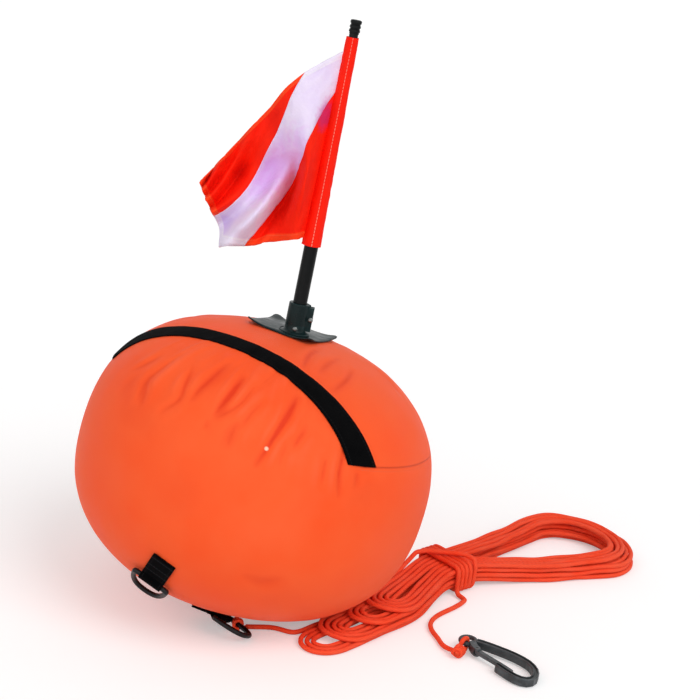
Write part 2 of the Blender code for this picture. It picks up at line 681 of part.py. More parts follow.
def flag_panel(name, start, end, rows, finish_name):
    """A panel of the flag between two of its diagonals, each a sum of the two shares."""
    columns = 12
    sides = ([], [])
    for row in range(rows + 1):
        total = start + (end - start) * row / rows
        first, last = max(0.0, total - 1), min(1.0, total)
        for column in range(columns + 1):
            across = first + (last - first) * column / columns
            point, normal = flag_point(across, total - across), flag_normal(across, total - across)
            sides[0].append(point + normal * FLAG_WALL / 2)
            sides[1].append(point - normal * FLAG_WALL / 2)
    count = len(sides[0])
    width = columns + 1
    faces = []
    for row in range(rows):
        for column in range(columns):
            i = row * width + column
            faces.append((i, i + 1, i + width + 1, i + width))
            faces.append((count + i, count + i + width, count + i + width + 1, count + i + 1))
    rim = list(range(width)) + [width * (r + 1) + columns for r in range(rows)]
    rim += [rows * width + c for c in range(columns - 1, -1, -1)] + [width * r for r in range(rows - 1, 0, -1)]
    for k, i in enumerate(rim):
        j = rim[(k + 1) % len(rim)]
        faces.append((i, j, count + j, count + i))
    return add_mesh(name, sides[0] + sides[1], faces, finish_name, mast_frame)


def make_flag():
    inner_low, inner_high = SLEEVE_BOTTOM_RADIUS - SLEEVE_WALL, SLEEVE_TOP_RADIUS - SLEEVE_WALL
    profile = [(inner_low, SLEEVE_BOTTOM), (inner_high, SLEEVE_TOP), (SLEEVE_TOP_RADIUS, SLEEVE_TOP),
               (SLEEVE_BOTTOM_RADIUS, SLEEVE_BOTTOM)]
    add_mesh("flag_sleeve", *turned(profile, 24), "flag_red", mast_frame)
    half = PANEL_GAP / 2
    flag_panel("flag_hoist", 0.02, STRIPE_START - half, 10, "flag_red")
    flag_panel("flag_stripe", STRIPE_START + half, STRIPE_END - half, 4, "flag_white")
    flag_panel("flag_fly", STRIPE_END + half, 1.98, 10, "flag_red")


# Webbing tabs with their D-rings

def tab_frame(foot, along):
    """Place of a tab: its foot on the skin, its way along the skin, across it and off it."""
    base = on_skin(foot)
    normal = skin_normal(base)
    across = normal.cross(Vector(along)).normalized()
    way = across.cross(normal)
    return base, way, across, normal


def tab_bar_offset(bar_radius):
    """How far the middle of what a tab holds stands off the skin."""
    return GAP + WEBBING_WALL + RUNNING_GAP + bar_radius


def make_tab(name, foot, along, length, bar_radius, fold=0.013):
    """Webbing folded round a bar and sewn to the cover, as one band with a round end and a hole."""
    base, way, across, normal = tab_frame(foot, along)
    centre = tab_bar_offset(bar_radius)
    outer = bar_radius + RUNNING_GAP + WEBBING_WALL
    flat = GAP + 2 * WEBBING_WALL
    steps = [length - (length - fold) * i / 5 for i in range(6)]
    profile = [(s, GAP) for s in reversed(steps)]
    profile += [(s, flat) for s in steps]
    for i in range(9):
        angle = radians(78) + radians(192) * i / 8
        profile.append((outer * cos(angle), centre + outer * sin(angle)))
    rings = []
    for side in (-0.5, 0.5):
        ring = []
        for s, t in profile:
            spot = on_skin(base + way * s)
            spot = spot - across * ((spot - base).dot(across))
            lift = skin_normal(spot)
            lift = (lift - across * lift.dot(across)).normalized()
            if s <= 0:
                spot, lift = base + way * s, normal
            ring.append(spot + lift * t + across * (side * WEBBING_WIDTH))
        rings.append(ring)
    points, faces = loft(rings)
    tab = add_mesh(name, points, faces, "closure_webbing", float_frame, smooth=False)
    bar = base + normal * centre
    points, faces = rod_between(bar - across * WEBBING_WIDTH, bar + across * WEBBING_WIDTH, bar_radius + RUNNING_GAP, 20)
    cut(tab, as_cutter(add_mesh(f"{name}_hole", points, faces, None, float_frame)))
    return bar, way, across


def d_ring_path():
    """Middle line of a D-ring: a straight bar along X about the origin, and a bow that reaches along Y."""
    half, height = (RING_WIDTH - RING_WIRE) / 2, RING_HEIGHT - RING_WIRE
    squareness = 2.5
    path = [(-half * (1 - 2 * i / 4), 0.0) for i in range(1, 4)]
    corner = RING_WIRE
    path += [(half - corner * 0.3, 0.0 + corner * 0.02), (half, corner * 0.35)]
    steps = 14
    for i in range(1, steps):
        angle = pi * i / steps
        x = half * (1 if cos(angle) > 0 else -1) * abs(cos(angle)) ** (2 / squareness)
        y = height * sin(angle) ** (2 / squareness)
        if y > corner * 0.5:
            path.append((x, y))
    path += [(-half, corner * 0.35), (-half + corner * 0.3, corner * 0.02)]
    return path


def ring_place(bar, way, across, swing):
    """Place of a ring on its bar: X runs along the bar and Y out to the bow."""
    turn = Matrix((across, -way, across.cross(-way))).transposed()
    return Matrix.Translation(bar) @ turn.to_4x4() @ Matrix.Rotation(swing, 4, "X")


def ring_tube(wire_radius, sides=10):
    """Points and faces of a D-ring's tube."""
    path = [np.array((x, y, 0.0)) for x, y in d_ring_path()]
    rings = []
    for i, here in enumerate(path):
        tangent = path[(i + 1) % len(path)] - path[i - 1]
        tangent = tangent / np.linalg.norm(tangent)
        outward = np.array((tangent[1], -tangent[0], 0.0))
        rings.append([tuple(here + wire_radius * (cos(a) * outward + sin(a) * UP))
                      for a in (2 * pi * k / sides for k in range(sides))])
    return loft(rings + rings[:1], closed_ends=False)


def make_ring(name, bar, way, across, swing):
    """A D-ring round a tab's hole. At a swing of nothing it points straight on from its webbing."""
    frame = add_empty(f"{name}_frame", ring_place(bar, way, across, swing), float_frame)
    add_mesh(name, *ring_tube(RING_WIRE / 2), "ring_plastic", frame)
    return frame


def ring_low_point(bar, way, across, swing):
    """Height above the floor of a ring's lowest wire, at a swing."""
    place = FLOAT_PLACE @ ring_place(bar, way, across, swing)
    return min((place @ Vector((x, y, 0.0))).z for x, y in d_ring_path()) - RING_WIRE / 2


def swing_to_floor(bar, way, across):
    """The least swing at which a ring just rests on the floor."""
    swings = [radians(0.5 * i) for i in range(-100, 101)]
    heights = [ring_low_point(bar, way, across, swing) - 2 * GAP for swing in swings]
    crossings = []
    for i in range(len(swings) - 1):
        if heights[i] * heights[i + 1] <= 0:
            share = heights[i] / (heights[i] - heights[i + 1])
            crossings.append(swings[i] + (swings[i + 1] - swings[i]) * share)
    return min(crossings, key=abs)


def make_tabs():
    foot, head = Vector(FRONT_TAB_FOOT), Vector(FRONT_TAB_HEAD)
    held = make_tab("front_tab", foot, head - foot, FRONT_TAB_LENGTH, RING_WIRE / 2)
    make_ring("front_ring", *held, 0.0)
    report_ring("front_ring", held, 0.0)
    foot = TO_FLOAT @ Vector(LOWER_TAB_FOOT)
    along = FLOAT_TURN.transposed() @ Vector(LOWER_TAB_ALONG)
    held = make_tab("lower_tab", foot, along, LOWER_TAB_LENGTH, RING_WIRE / 2)
    swing = swing_to_floor(*held)
    ring_frame = make_ring("lower_ring", *held, swing)
    report_ring("lower_ring", held, swing)
    place = FLOAT_PLACE @ ring_place(*held, swing)
    path = [np.array(place @ Vector((x, y, 0.0))) for x, y in d_ring_path()]
    spot = min(range(1, len(path) - 1), key=lambda i: np.linalg.norm(path[i] - np.array(LEAD_WIRE)))
    ring_way = path[spot + 1] - path[spot - 1]
    print("lower ring swing", round(degrees(swing), 2), "lead at", np.round(path[spot] * 1000, 1))
    make_lead(path[spot], ring_way / np.linalg.norm(ring_way), ring_frame)


def report_ring(name, held, swing):
    """Print where a ring's bar and its opening lie in the world."""
    place = FLOAT_PLACE @ ring_place(*held, swing)
    turn = place.to_3x3()
    print(name, "bar at", [round(v, 5) for v in place.translation], "along", [round(v, 4) for v in turn.col[0]],
          "bow", [round(v, 4) for v in turn.col[1]], "normal", [round(v, 4) for v in turn.col[2]],
          "opening", [round(v, 4) for v in place @ Vector((0, RING_HEIGHT / 2 - RING_WIRE / 2, 0))])


# Line

def smooth_path(controls, spacing):
    """Points at an even spacing on a smooth curve through a list of points."""
    controls = np.array(controls, dtype=float)
    first = 2 * controls[0] - controls[1]
    last = 2 * controls[-1] - controls[-2]
    knots = np.vstack([first, controls, last])
    fine = []
    for i in range(1, len(knots) - 2):
        before, start, end, after = knots[i - 1:i + 3]
        for t in np.linspace(0, 1, 24, endpoint=False):
            fine.append(0.5 * (2 * start + (end - before) * t + (2 * before - 5 * start + 4 * end - after) * t * t
                               + (3 * start - before - 3 * end + after) * t ** 3))
    fine.append(controls[-1])
    fine = np.array(fine)
    run = np.concatenate([[0.0], np.cumsum(np.linalg.norm(np.diff(fine, axis=0), axis=1))])
    count = max(int(round(run[-1] / spacing)), 2)
    even = np.linspace(0, run[-1], count + 1)
    return np.stack([np.interp(even, run, fine[:, k]) for k in range(3)], axis=1)


def add_rope(name, points, finish_name="line_orange", resolution=2):
    """A rope along points, as a curve with round section and filled ends."""
    curve = bpy.data.curves.new(name, "CURVE")
    curve.dimensions = "3D"
    curve.bevel_depth = LINE / 2
    curve.bevel_resolution = resolution
    curve.use_fill_caps = True
    spline = curve.splines.new("POLY")
    spline.points.add(len(points) - 1)
    for spot, point in zip(spline.points, points):
        spot.co = (*point, 1.0)
    curve.materials.append(finish(finish_name))
    rope = bpy.data.objects.new(name, curve)
    bpy.context.scene.collection.objects.link(rope)
    return rope


def hank_place(along, side, height):
    """World point from the distance along the hank from its waist, to its far side, and up."""
    side = side + float(np.interp(along, *zip(*HANK_BEND)))
    way = np.array([cos(HANK_HEADING), sin(HANK_HEADING)])
    across = np.array([-sin(HANK_HEADING), cos(HANK_HEADING)])
    spot = np.array(WAIST) + along * way + side * across
    return np.array([spot[0], spot[1], height])


def ease(share):
    share = min(max(share, 0.0), 1.0)
    return share * share * (3 - 2 * share)


# Each layer's left bow ends nearer the waist than the one under it, which keeps it clear of the float
LEFT_REACH = (0.2350, 0.1990, 0.1650, 0.1315)
LEFT_MIDDLE = -0.0350
LEFT_HALF = 0.0290
LEFT_SPREAD = ((0.021, 0.093, 0.206), (0.0, 0.70, 1.0))
RIGHT_REACH = (0.2330, 0.2280, 0.2310, 0.2240)
RIGHT_MIDDLE = -0.0200
RIGHT_HALF = 0.0680
RIGHT_BOW = 0.058
RIGHT_SPREAD = ((0.021, 0.093, 0.175), (0.0, 0.50, 1.0))
WAIST_HALF = 4.14 * LINE_STEP
HUMP_LENGTH = 0.072
RUN_STEPS, RIGHT_STEPS, LEFT_STEPS = 5, 8, 6
TIE_SHIFT = 0.0006
TIE_HALF_WIDTH = WAIST_HALF - 0.10 * LINE_STEP + LINE + 0.00070 - TIE_SHIFT
TIE_HALF_HEIGHT = (LAYERS - 1) / 2 * LAYER_STEP + LINE + 0.00070
HUMP = TIE_HALF_HEIGHT - (LAYERS - 1) / 2 * LAYER_STEP
FLOOR_HEIGHT = LINE / 2 + 0.0001


def run_side(along, sign):
    """How far to its side a run of the outermost loop lies, at a distance along the hank."""
    middle, half = (LEFT_MIDDLE, LEFT_HALF) if along < 0 else (RIGHT_MIDDLE, RIGHT_HALF)
    mix = float(np.interp(abs(along), *(LEFT_SPREAD if along < 0 else RIGHT_SPREAD)))
    return middle * mix + sign * (WAIST_HALF + (half - WAIST_HALF) * mix)


def outer_spot(step, layer):
    """Point of a layer's outermost loop after a number of its LOOP_POINTS steps.

    The loop starts at the far side's left end, runs right along the far side, round the right bow, back along
    the near side and round the left bow.
    """
    step = step % LOOP_POINTS
    left_start, right_start = LEFT_HALF - LEFT_REACH[layer], RIGHT_REACH[layer] - RIGHT_BOW
    waist, hump = WAIST_HALF_LENGTH + 0.001, WAIST_HALF_LENGTH + 0.001 + HUMP_LENGTH
    stops = (left_start, -hump, -waist, waist, hump, right_start)
    if step <= RUN_STEPS:
        along = float(np.interp(step, range(RUN_STEPS + 1), stops))
        return along, run_side(along, 1)
    step -= RUN_STEPS
    if step < RIGHT_STEPS:
        angle = pi / 2 - pi * step / RIGHT_STEPS
        return right_start + RIGHT_BOW * cos(angle), RIGHT_MIDDLE + RIGHT_HALF * sin(angle)
    step -= RIGHT_STEPS
    if step <= RUN_STEPS:
        along = float(np.interp(step, range(RUN_STEPS + 1), stops[::-1]))
        return along, run_side(along, -1)
    angle = -pi / 2 - pi * (step - RUN_STEPS) / LEFT_STEPS
    far, near = run_side(left_start, 1), run_side(left_start, -1)
    half = (far - near) / 2
    return left_start + half * cos(angle), (far + near) / 2 + half * sin(angle)


def hank_spot(step):
    """Point of the hank after a number of steps.

    The line spirals inwards in one layer and outwards in the next. From an inner end it climbs round the left
    bow, and from an outer end along the far side.
    """
    turn = step / LOOP_POINTS
    layer = min(int(turn / LOOPS_PER_LAYER), LAYERS - 1)
    share = turn - layer * LOOPS_PER_LAYER
    inward = share if layer % 2 == 0 else LOOPS_PER_LAYER - share
    past = (share - LOOPS_PER_LAYER) * LOOP_POINTS
    since = share * LOOP_POINTS
    level, shape = float(layer), layer
    if layer % 2 == 0 and layer < LAYERS - 1 and past >= -LEFT_STEPS:
        level, shape = layer + ease((past + LEFT_STEPS) / 8.5), layer + 1
    elif layer % 2 == 1 and since < 2.5:
        level = layer - 1 + ease((since + LEFT_STEPS) / 8.5)
    elif layer % 2 == 0 and layer > 0 and since < 3.0:
        level, shape = layer - 1 + ease((since + 0.5) / 3.5), layer if since > 0 else layer - 1
    elif layer % 2 == 1 and layer < LAYERS - 1 and past > -0.5:
        level = layer + ease((past + 0.5) / 3.5)
    here, before, after = (np.array(outer_spot(step + shift, shape)) for shift in (0, -0.5, 0.5))
    way = (after - before) / np.linalg.norm(after - before)
    on_loop = step % LOOP_POINTS
    if on_loop <= RUN_STEPS:
        way = np.array([1.0, 0.0])
    elif RUN_STEPS + RIGHT_STEPS <= on_loop <= 2 * RUN_STEPS + RIGHT_STEPS:
        way = np.array([-1.0, 0.0])
    along, side = here + np.array([way[1], -way[0]]) * inward * LINE_STEP
    hump = HUMP * min(max((WAIST_HALF_LENGTH + HUMP_LENGTH - abs(along)) / (HUMP_LENGTH - 0.002), 0.0), 1.0)
    return hank_place(along, side, FLOOR_HEIGHT + level * LAYER_STEP + hump)


def hank_line():
    """The whole hank's points, which end on the top layer's far run on its way to the waist."""
    points = [hank_spot(step) for step in range(LAYERS * LOOPS_PER_LAYER * LOOP_POINTS + 1)]
    points.append(hank_spot(LAYERS * LOOPS_PER_LAYER * LOOP_POINTS + 1.4))
    return np.array(points)


def tie_turn(share):
    """Point of the tie in the plane across the hank, from the middle of its near side down and round."""
    side, high, corner = TIE_HALF_WIDTH, TIE_HALF_HEIGHT, TIE_CORNER
    centres = [(-1, -1), (1, -1), (1, 1), (-1, 1)]
    step = share % 16
    quarter, part = int(step // 4), step % 4
    cx, cz = centres[quarter]
    angle = pi + pi / 2 * quarter + pi / 2 * min(part, 3) / 3
    here = np.array([cx * (side - corner) + corner * cos(angle), cz * (high - corner) + corner * sin(angle)])
    if part > 3:
        nx, nz = centres[(quarter + 1) % 4]
        after = np.array([nx * (side - corner) + corner * cos(angle), nz * (high - corner) + corner * sin(angle)])
        here = here + (after - here) * (part - 3)
    return here


def make_line():
    hank = hank_line()
    print("hank length", round(float(np.linalg.norm(np.diff(hank, axis=0), axis=1).sum()), 3),
          "least gap", round(self_gap(hank), 5))
    add_rope("line_hank", hank, resolution=1)
    middle_height = FLOOR_HEIGHT + TIE_HALF_HEIGHT
    top = middle_height + TIE_HALF_HEIGHT
    end, before = hank[-1], hank[-2]
    way = (end - before) / np.linalg.norm(end - before)
    first = TIE_STEP * TIE_TURNS / 2 + 0.0005
    crossing = [end + way * GAP, end + way * (GAP + LINE), hank_place(-0.029, 0.018, top + 0.0050),
                hank_place(-0.019, 0.012, top + 0.0064), hank_place(first - 0.003, -0.014, top + 0.0064),
                hank_place(first + 0.0022, -TIE_HALF_WIDTH + 0.0042, top + 0.0038),
                hank_place(first + 0.0012, -TIE_HALF_WIDTH + TIE_SHIFT - 0.0002, top - 0.0035)]
    points = list(crossing)
    for step in range(0, 16 * TIE_TURNS + 1):
        side, high = tie_turn(step)
        along = first - TIE_STEP * step / 16
        points.append(hank_place(along, side + TIE_SHIFT, middle_height + high))
    low = first - TIE_STEP * TIE_TURNS
    edge = TIE_SHIFT - TIE_HALF_WIDTH
    points += [hank_place(low, edge - 0.0002, FLOOR_HEIGHT + 0.0050), hank_place(low - 0.0006, edge - 0.0016, FLOOR_HEIGHT + 0.0020),
               hank_place(low - 0.0012, edge - 0.0040, FLOOR_HEIGHT), hank_place(*TIE_END, FLOOR_HEIGHT)]
    points = np.array(points)
    print("tie gap to itself", round(self_gap(points), 5), "to the hank", round(rope_gap(points, hank), 5))
    add_rope("line_tie", points)


def strap_loop(wire, outward, upward, wire_radius):
    """Line through a ring and back to its knot: round a wire, in the plane of two directions."""
    wire, out, up = np.array(wire), np.array(outward), np.array(upward)
    side = np.cross(out, up)
    radius = wire_radius + LINE / 2 + 0.0004
    reach = LOOP_TO_KNOT - KNOT_LENGTH / 2 - 0.0004
    slant = radius * sqrt(0.5)
    path = [(reach, STRAND_OFFSET, -0.0008), (reach - 0.0022, STRAND_OFFSET, -0.0004), (slant + 0.0008, 0.0018, slant),
            (slant * 0.5, 0.0012, radius * 0.93), (0.0, 0.0006, radius), (-slant, 0.0002, slant), (-radius, 0.0, 0.0),
            (-slant, -0.0002, -slant), (0.0, -0.0006, -radius), (slant * 0.5, -0.0012, -radius * 0.93),
            (slant + 0.0008, -0.0018, -slant), (reach - 0.0022, -STRAND_OFFSET, -0.0027), (reach, -STRAND_OFFSET, -0.0025)]
    return np.array([wire + a * out + b * side + c * up for a, b, c in path])


def add_knot(name, centre, heading, length=KNOT_LENGTH, width=KNOT_WIDTH, height=KNOT_WIDTH):
    """A tight knot, as a lump on the line."""
    points, faces = [], []
    around, rows = 16, 8
    way = np.array([cos(heading), sin(heading), 0.0])
    side = np.array([-sin(heading), cos(heading), 0.0])
    for row in range(rows + 1):
        angle = -pi / 2 + pi * row / rows
        count = 1 if row in (0, rows) else around
        for i in range(count):
            turn = 2 * pi * i / around
            ripple = 1 - 0.05 * (1 + sin(3 * turn + 4 * angle)) * cos(angle)
            spread = (side * cos(turn) * width + UP * sin(turn) * height) / 2
            points.append(np.array(centre) + way * length / 2 * sin(angle)
                          + spread * max(cos(angle), 0.0) ** 0.8 * ripple)
    for i in range(around):
        j = (i + 1) % around
        faces.append((0, 1 + i, 1 + j))
        for row in range(rows - 2):
            low = 1 + row * around
            faces.append((low + i, low + around + i, low + around + j, low + j))
        faces.append((len(points) - 1, 1 + (rows - 2) * around + j, 1 + (rows - 2) * around + i))
    return add_mesh(name, points, faces, "line_orange")


def make_tail():
    """The line from the tie to the snap hook, with its knot and the loop through the hook's eye."""
    out = np.array([cos(KNOT_HEADING), sin(KNOT_HEADING), 0.0])
    wire = np.array([*HOOK_EYE, EYE_HEIGHT]) + out * EYE_RADIUS
    add_rope("hook_loop", strap_loop(wire, out, UP, EYE_WIRE / 2))
    knot = wire + out * LOOP_TO_KNOT + UP * (-0.0018)
    add_knot("line_knot", knot, KNOT_HEADING)
    entry = np.array([cos(TAIL_ENTRY), sin(TAIL_ENTRY), 0.0])
    last = knot + entry * (KNOT_WIDTH / 2 - GAP)
    last[2] = FLOOR_HEIGHT + 0.0024
    end = hank_place(*TIE_END, FLOOR_HEIGHT)
    onward = hank_place(*TAIL[0], FLOOR_HEIGHT) - end
    controls = [end + onward / np.linalg.norm(onward) * 3 * GAP] + [hank_place(s, n, FLOOR_HEIGHT) for s, n in TAIL]
    controls += [last + entry * 0.010 + np.array([-0.002, 0.004, -0.0020]), last]
    path = smooth_path(controls, 0.0065)
    print("tail length", round(float(np.linalg.norm(np.diff(path, axis=0), axis=1).sum()), 4))
    add_rope("line_tail", path)


def make_lead(ring_wire, ring_way, ring_frame):
    """The line's other end: a hitch round the lower ring's wire and the short lead to the hank."""
    heading = atan2(ring_way[1], ring_way[0])
    centre = np.array([ring_wire[0], ring_wire[1], HITCH_HALF_HEIGHT + 0.0002])
    hitch = add_knot("lead_knot", centre, heading, HITCH_LENGTH, 2 * HITCH_HALF_WIDTH, 2 * HITCH_HALF_HEIGHT)
    hole = as_cutter(add_mesh("hitch_hole", *ring_tube(RING_WIRE / 2 + GAP), None, ring_frame))
    cut(hitch, hole)
    start = hank_line()[:2]
    way = (start[1] - start[0]) / np.linalg.norm(start[1] - start[0])
    first = start[0] - way * 3 * GAP
    leave = np.array([cos(LEAD_HEADING), sin(LEAD_HEADING), 0.0])
    begin = centre + leave * (HITCH_HALF_WIDTH + 0.0012)
    begin[2] = FLOOR_HEIGHT
    middle = (begin + first) / 2 + np.array([0.0, 0.004, 0.0])
    controls = [begin, begin + leave * 0.008, middle, first - way * 0.012, first]
    for point in controls:
        point[2] = FLOOR_HEIGHT
    path = smooth_path(controls, 0.006)
    print("lead from", np.round(path[0] * 1000, 1), "to", np.round(path[-1] * 1000, 1))
    add_rope("line_lead", path)


# Snap hook

def hook_frame_place():
    turn = Matrix.Rotation(HOOK_HEADING, 4, "Z") @ Matrix.Rotation(HOOK_PITCH, 4, "Y")
    return Matrix.Translation((*HOOK_EYE, EYE_HEIGHT)) @ turn


def bar_along(path, section, round_start=False, round_end=False):
    """Rings of a bar's section along a flat path. The section lists (sideways, upwards) points."""
    points = [np.array((x, y)) for x, y in path]
    rings = []
    for i, here in enumerate(points):
        before, after = points[max(i - 1, 0)], points[min(i + 1, len(points) - 1)]
        way = (after - before) / np.linalg.norm(after - before)
        side = np.array([-way[1], way[0]])
        rings.append([(*(here + side * s), h) for s, h in section])
    half = max(abs(s) for s, _ in section)
    for at_end, wanted in ((False, round_start), (True, round_end)):
        if not wanted:
            continue
        here, near = (points[-1], points[-2]) if at_end else (points[0], points[1])
        way = (here - near) / np.linalg.norm(here - near)
        side = np.array([-way[1], way[0]]) * (1 if at_end else -1)
        caps = []
        for angle in (radians(30), radians(60), radians(80)):
            caps.append([(*(here + way * half * sin(angle) + side * s * cos(angle)), h) for s, h in section])
        rings = rings + caps if at_end else caps[::-1] + rings
    return rings


def flat_section(width, wall):
    return [(-width / 2, -wall / 2), (width / 2, -wall / 2), (width / 2, wall / 2), (-width / 2, wall / 2)]


def grooved_section():
    """Section of the hook's bar: a rounded oblong with a groove along both broad faces."""
    half, high, groove = HOOK_BAR / 2, HOOK_WALL / 2, GROOVE_WIDTH / 2
    chamfer, bed = 0.0008, HOOK_WALL / 2 - GROOVE_DEPTH
    upper = [(half, high - chamfer), (half - chamfer, high), (groove, high), (groove - 0.0004, bed),
             (-groove + 0.0004, bed), (-groove, high), (-half + chamfer, high), (-half, high - chamfer)]
    return upper + [(-s, -h) for s, h in upper]


def make_hook():
    frame = add_empty("hook_frame", hook_frame_place())
    body = add_mesh("hook_body", *loft(bar_along(SPINE, grooved_section(), round_end=True)), "hook_plastic", frame)
    root_section = flat_section(HOOK_BAR, HOOK_WALL - 0.0004)
    root = add_mesh("hook_root", *loft(bar_along(ROOT, root_section, round_end=True)), None, frame)
    sides, around = 12, 32
    rings = []
    for i in range(around):
        angle = 2 * pi * i / around
        rings.append([((EYE_RADIUS + EYE_WIRE / 2 * cos(a)) * cos(angle), (EYE_RADIUS + EYE_WIRE / 2 * cos(a)) * sin(angle),
                       EYE_WIRE / 2 * sin(a)) for a in (2 * pi * (k + 0.5) / sides for k in range(sides))])
    eye = add_mesh("hook_eye", *loft(rings + rings[:1], closed_ends=False), None, frame)
    cut(body, as_cutter(eye), "UNION")
    cut(body, as_cutter(root), "UNION")
    x, y = GATE_PIVOT
    slot_half = GATE_WALL / 2 + GAP
    clearance = GATE_BAR / 2 + 0.0006
    points, faces = rod_between((x, y, -slot_half), (x, y, slot_half), clearance, 24)
    cut(body, as_cutter(add_mesh("gate_slot_round", points, faces, None, frame)))
    points, faces = block((x - 0.001, y - 0.010, -slot_half), (x + 0.012, y + clearance + SLOT_RELIEF, slot_half))
    cut(body, as_cutter(add_mesh("gate_slot_mouth", points, faces, None, frame, smooth=False)))
    reach = HOOK_WALL / 2 - 0.0004
    points, faces = rod_between((x, y, -0.01), (x, y, 0.01), PIN_RADIUS + GAP / 2)
    hole = as_cutter(add_mesh("pin_hole", points, faces, None, frame))
    cut(body, hole)
    gate_frame = add_empty("gate_frame", Matrix.Translation((x, y, 0.0)), frame)
    path = [(px - x, py - y) for px, py in GATE]
    gate = add_mesh("hook_gate", *loft(bar_along(path, flat_section(GATE_BAR, GATE_WALL), True, True)), "hook_plastic",
                    gate_frame)
    cut(gate, hole)
    points, faces = rod_between((x, y, -reach + 0.0002), (x, y, reach - 0.0002), PIN_RADIUS)
    add_mesh("hook_pin", points, faces, "clamp_steel", frame)
    add_mesh("gate_spring", *loft(bar_along(SPRING, flat_section(SPRING_WALL, SPRING_WIDTH))), "clamp_steel", frame)


def self_gap(points):
    """Least gap of a rope to itself, between runs that are more than a few diameters apart along it."""
    starts, ends = points[:-1], points[1:]
    run = np.concatenate([[0.0], np.cumsum(np.linalg.norm(ends - starts, axis=1))])
    shares = np.linspace(0, 1, 9)[:-1]
    fine = (starts[:, None, :] + (ends - starts)[:, None, :] * shares[None, :, None]).reshape(-1, 3)
    place = (run[:-1, None] + np.diff(run)[:, None] * shares[None, :]).reshape(-1)
    least = 1.0
    for i in range(0, len(fine), 64):
        gaps = np.linalg.norm(fine[i:i + 64, None, :] - fine[None, :, :], axis=2)
        far = np.abs(place[i:i + 64, None] - place[None, :]) > 8 * LINE
        least = min(least, float(gaps[far].min()))
    return least - LINE


def rope_gap(first, second):
    """Least gap between two ropes, leaving out the first points of the first."""
    def fine(points):
        starts, ends = points[:-1], points[1:]
        shares = np.linspace(0, 1, 9)[:-1]
        return (starts[:, None, :] + (ends - starts)[:, None, :] * shares[None, :, None]).reshape(-1, 3)
    one, two = fine(first)[16:], fine(second)
    return min(float(np.linalg.norm(one[i:i + 64, None, :] - two[None, :, :], axis=2).min())
               for i in range(0, len(one), 64)) - LINE


make_cover()
make_closure()
make_bladder()
make_patch()
make_socket()
make_mast()
make_flag()
make_tabs()
make_line()
make_tail()
make_hook()
mast = FLOAT_PLACE @ MAST_PLACE
print("mast foot", [round(v, 5) for v in mast.translation], "along", [round(v, 5) for v in mast.to_3x3().col[2]])
hook = hook_frame_place()
print("gate pivot", [round(v, 5) for v in hook @ Vector((*GATE_PIVOT, 0.0))], "along",
      [round(v, 5) for v in hook.to_3x3().col[2]], "opening", [round(v, 4) for v in hook @ Vector((0.058, 0.008, 0.0))])
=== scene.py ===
# %% [markdown]
# A diver's marker buoy. An inflated ball in a fabric cover floats on the sea and holds up a short mast
# with the red and white "diver down" flag. A long line ties it to the diver. This notebook dresses the
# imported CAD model: each soft or turned piece is built again with its real folds, wall and finish, in
# the place where the CAD says that it is.

# %% Load the frame
from contextlib import contextmanager
from math import acos, asin, atan2, cos, pi, radians, sin, sqrt

import bmesh
import bpy
import numpy as np
from mathutils import Euler, Matrix, Vector


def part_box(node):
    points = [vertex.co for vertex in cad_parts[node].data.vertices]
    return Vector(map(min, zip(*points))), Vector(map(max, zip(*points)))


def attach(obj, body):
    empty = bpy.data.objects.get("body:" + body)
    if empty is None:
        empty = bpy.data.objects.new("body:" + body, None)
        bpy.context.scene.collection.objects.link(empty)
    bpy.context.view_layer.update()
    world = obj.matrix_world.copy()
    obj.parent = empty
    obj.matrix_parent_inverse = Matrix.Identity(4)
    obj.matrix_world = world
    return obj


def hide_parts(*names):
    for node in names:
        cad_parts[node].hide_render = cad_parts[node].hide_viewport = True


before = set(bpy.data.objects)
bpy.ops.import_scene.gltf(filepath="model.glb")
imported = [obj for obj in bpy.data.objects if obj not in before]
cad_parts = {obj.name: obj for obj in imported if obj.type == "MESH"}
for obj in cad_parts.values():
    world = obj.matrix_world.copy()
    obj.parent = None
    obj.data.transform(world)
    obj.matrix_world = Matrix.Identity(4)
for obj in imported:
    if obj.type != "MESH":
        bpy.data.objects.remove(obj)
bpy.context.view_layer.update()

# %% [markdown]
# The camera stands where the photographer stood: 2.4 m away, looking down by 20 degrees, with the
# camera rolled by 6 degrees. A long lens keeps the ball round. A camera looks along its own -Z with
# its X to the right, so its matrix is written from three directions instead of by trial.

# %% Camera
LOOK_DOWN, ROLL = radians(20.0), radians(6.0)
look = np.array([0.0, cos(LOOK_DOWN), -sin(LOOK_DOWN)])
level_up = np.array([0.0, sin(LOOK_DOWN), cos(LOOK_DOWN)])
level_right = np.array([1.0, 0.0, 0.0])
right = cos(ROLL) * level_right + sin(ROLL) * level_up
up = cos(ROLL) * level_up - sin(ROLL) * level_right
CAMERA_SPOT = (0.08346, -2.21240, 1.07880)

scene = bpy.context.scene


def add_object(name, data):
    """A new object in the scene, holding a mesh, a lamp or a camera."""
    thing = bpy.data.objects.new(name, data)
    scene.collection.objects.link(thing)
    return thing


camera_data = bpy.data.cameras.new("camera")
camera_data.sensor_width = 36.0
camera_data.lens = 36.0 * 2400 / 700
camera = add_object("camera", camera_data)
turn = Matrix([[right[i], up[i], -look[i]] for i in range(3)]).to_4x4()
camera.matrix_world = Matrix.Translation(CAMERA_SPOT) @ turn
scene.camera = camera
scene.view_settings.view_transform = "Standard"
print("lens", round(camera_data.lens, 2), "mm")

# %% [markdown]
# A finish is a tree of small nodes, and most trees here are built from the same few steps. One helper
# adds a node, sets its values and joins what feeds it, so that each finish reads as a short recipe.
# A socket gets either a plain value or another node's output.

